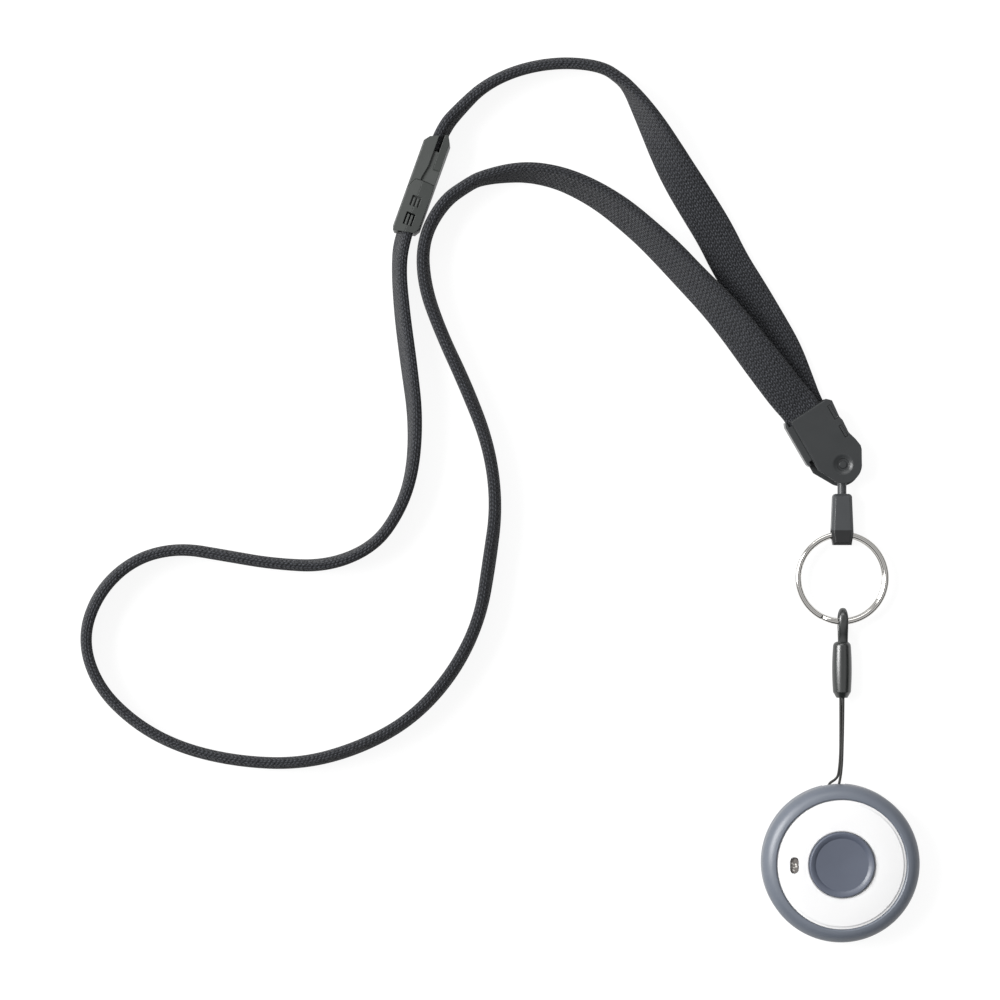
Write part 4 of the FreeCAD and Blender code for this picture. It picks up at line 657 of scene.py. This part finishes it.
LOOP_X = SPINE_X + 0.25
LOOP_HALF_WIDTH, LOOP_HALF_THICKNESS = 1.27, 0.53
LOOP_TIP, LOOP_TAPER, LOOP_TIP_SHARE = 68.05, 3.4, 0.35
LOOP_SIDES = 24
LOOP_ROOT_RISE, LOOP_BOW_RISE = 0.62, 2.12
LOOP_CREST_Y = 67.9
LOOP_LEG = [
    (56.05, LOOP_ROOT_RISE),
    (59.0, LOOP_ROOT_RISE),
    (63.3, LOOP_BOW_RISE),
    (66.3, LOOP_BOW_RISE),
]
LOOP = [(LOOP_X, y, SPINE_HEIGHT - rise) for y, rise in LOOP_LEG]
LOOP += [(LOOP_X, LOOP_CREST_Y, SPINE_HEIGHT)]
LOOP += [(LOOP_X, y, SPINE_HEIGHT + rise) for y, rise in reversed(LOOP_LEG)]


def loop_mesh():
    """Moulded eye round the ring's wire: at each point of its line the section is an ellipse.

    The ellipse is wide across the loop's plane and thin in it, and narrows to the tip by a quarter
    circle.
    """
    line = spline_points(in_metres(LOOP), "loop_line")
    ahead = unit(np.gradient(line, axis=0))
    out = np.cross(ahead, [1.0, 0.0, 0.0])
    near = np.clip((line[:, 1] / MM - (LOOP_TIP - LOOP_TAPER)) / LOOP_TAPER, 0.0, 1.0)
    fullness = LOOP_TIP_SHARE + (1.0 - LOOP_TIP_SHARE) * np.sqrt(1.0 - near**2)
    half = LOOP_HALF_WIDTH * fullness
    cos, sin = circle(LOOP_SIDES)
    grid = line[:, None, :] + out[:, None, :] * (LOOP_HALF_THICKNESS * MM * sin)[None, :, None]
    grid[:, :, 0] += half[:, None] * MM * cos[None, :]
    return add_tube("connector_loop_eye", grid, "connector", MATERIALS["bead_plastic"])


loop_obj = loop_mesh()
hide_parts("connector_loop")

# Split ring

WIRE_HALF_WIDTH, WIRE_HALF_HEIGHT = 0.76, 0.59
WIRE_SIDES = 20
LOWER_RADIUS, RADIUS_GROWS = 11.52, 0.2
LOWER_SHIFT, LOWER_SHIFT_WAY = 0.04, math.radians(200.0)
COIL_RISE = 1.32
STEP_START, STEP_ARC, TURN_ARC = 233.0, 24.0, 345.0
RING_POINTS = 560


def ring_mesh():
    """Two turns of drawn wire, one on the other, with an elliptical section.

    The wire's middle follows a circle. Its height and radius grow by half a cosine wave from the
    lower turn to the upper one, and the lower turn sits a little off centre.
    """
    angle = np.linspace(STEP_START - TURN_ARC, STEP_START + STEP_ARC + TURN_ARC, RING_POINTS)
    share = np.clip((angle - STEP_START) / STEP_ARC, 0.0, 1.0)
    rise = (1.0 - np.cos(np.pi * share)) / 2.0
    level = -COIL_RISE / 2 + COIL_RISE * rise
    shift = LOWER_SHIFT * (1.0 - rise)
    turn = np.radians(angle)[:, None]
    cos, sin = circle(WIRE_SIDES)
    reach = (LOWER_RADIUS + RADIUS_GROWS * rise)[:, None] + WIRE_HALF_WIDTH * cos[None, :]
    x = SPINE_X + (shift * math.cos(LOWER_SHIFT_WAY))[:, None] + reach * np.cos(turn)
    y = RING_Y + (shift * math.sin(LOWER_SHIFT_WAY))[:, None] + reach * np.sin(turn)
    z = SPINE_HEIGHT + level[:, None] + WIRE_HALF_HEIGHT * sin[None, :]
    grid = np.stack([x, y, z], axis=2) * MM
    return add_tube("split_ring_wire", grid, "key_ring", MATERIALS["ring_nickel"])


ring_obj = ring_mesh()
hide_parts("split_ring")

# Stage, in metres

CENTRE = (-0.0908, 0.09685, 0.0)
FLOOR_HALF = 3.0
FLOOR_LEVEL = -0.0001
CAMERA_HEIGHT = 0.956
FOCAL_LENGTH = 128.25
SENSOR_WIDTH = 36.0

# Levels of the sky by height, from 0 straight down to 1 straight up. The light below shows the
# underside, and the dark belt gives metal its contrast. The sky leans, so that the pale ceiling
# comes lower on the side of positive y.
SKY_BELOW = 0.9
SKY_DARK = ((0.1, 0.75), (0.16, 0.03), (0.5, 0.01), (0.77, 0.015))
SKY_CEILING = ((0.86, 0.76), (0.95, 0.8), (0.99, 0.5))
SKY_BLUE = 1.01
SKY_LEAN = (-0.06, 0.22, 1.0)

# Share of white by height, for a pale backdrop at the level of the floor's far edge
HORIZON = ((0.45, 0.0), (0.47, 1.0), (0.565, 1.0), (0.6, 0.0))


def area_light(name, place, aim, size, power):
    """A square or oblong lamp that faces a point."""
    light = bpy.data.lights.new(name, "AREA")
    light.shape = "RECTANGLE"
    light.size, light.size_y = size
    light.energy = power
    obj = bpy.data.objects.new(name, light)
    obj.location = place
    obj.rotation_euler = (Vector(aim) - Vector(place)).to_track_quat("-Z", "Y").to_euler()
    bpy.context.scene.collection.objects.link(obj)
    return obj


def height_ramp(n, rise, first, stops, blue=1.0, interpolation="LINEAR"):
    """Grey levels by height, where a rise of -1 is straight down and 1 is straight up."""
    height = n.add("ShaderNodeMapRange")
    height.inputs["From Min"].default_value = -1.0
    n.link(rise, height.inputs["Value"])
    ramp = n.add("ShaderNodeValToRGB")
    ramp.color_ramp.interpolation = interpolation
    elements = ramp.color_ramp.elements
    elements.remove(elements[-1])
    elements[0].color = (first, first, first, 1.0)
    for at, level in stops:
        elements.new(at).color = (level, level, level * blue, 1.0)
    n.link(height.outputs[0], ramp.inputs[0])
    return ramp.outputs[0]


def studio_world():
    """A pale ceiling over a dark belt, a white backdrop round the horizon and light from below."""
    n = Nodes(bpy.data.worlds.new("studio"))
    direction = n.add("ShaderNodeTexCoord").outputs["Generated"]
    lean = n.add("ShaderNodeVectorMath", operation="DOT_PRODUCT")
    lean.inputs[1].default_value = SKY_LEAN
    n.link(direction, lean.inputs[0])
    levels = SKY_DARK + SKY_CEILING
    sky = height_ramp(n, lean.outputs["Value"], SKY_BELOW, levels, SKY_BLUE, "EASE")
    horizon = height_ramp(n, n.parts(direction)[2], 0.0, HORIZON)
    shown = n.add("ShaderNodeBackground")
    n.link(n.mix(horizon, sky, WHITE), shown.inputs["Color"])
    out = n.add("ShaderNodeOutputWorld")
    n.link(shown.outputs[0], out.inputs["Surface"])
    return n.owner


bpy.context.scene.world = studio_world()

signs = ((-1, -1), (1, -1), (1, 1), (-1, 1))
floor_corners = [(x * FLOOR_HALF, y * FLOOR_HALF, FLOOR_LEVEL) for x, y in signs]
floor_mesh = bpy.data.meshes.new("floor")
floor_mesh.from_pydata(floor_corners, [], [(0, 1, 2, 3)])
floor_mesh.materials.append(white_floor())
floor = bpy.data.objects.new("floor", floor_mesh)
bpy.context.scene.collection.objects.link(floor)
area_light("soft_left", (-0.7, 0.25, 0.6), CENTRE, (0.5, 0.5), 11.9)
area_light("soft_top", (-0.2, 0.75, 0.55), CENTRE, (0.6, 0.25), 1.6)

camera_data = bpy.data.cameras.new("camera")
camera_data.sensor_width = SENSOR_WIDTH
camera_data.lens = FOCAL_LENGTH
camera_data.clip_end = 10.0
camera = bpy.data.objects.new("camera", camera_data)
camera.location = (CENTRE[0], CENTRE[1], CAMERA_HEIGHT)
bpy.context.scene.collection.objects.link(camera)
bpy.context.scene.camera = camera

bpy.context.scene.view_settings.view_transform = "Standard"
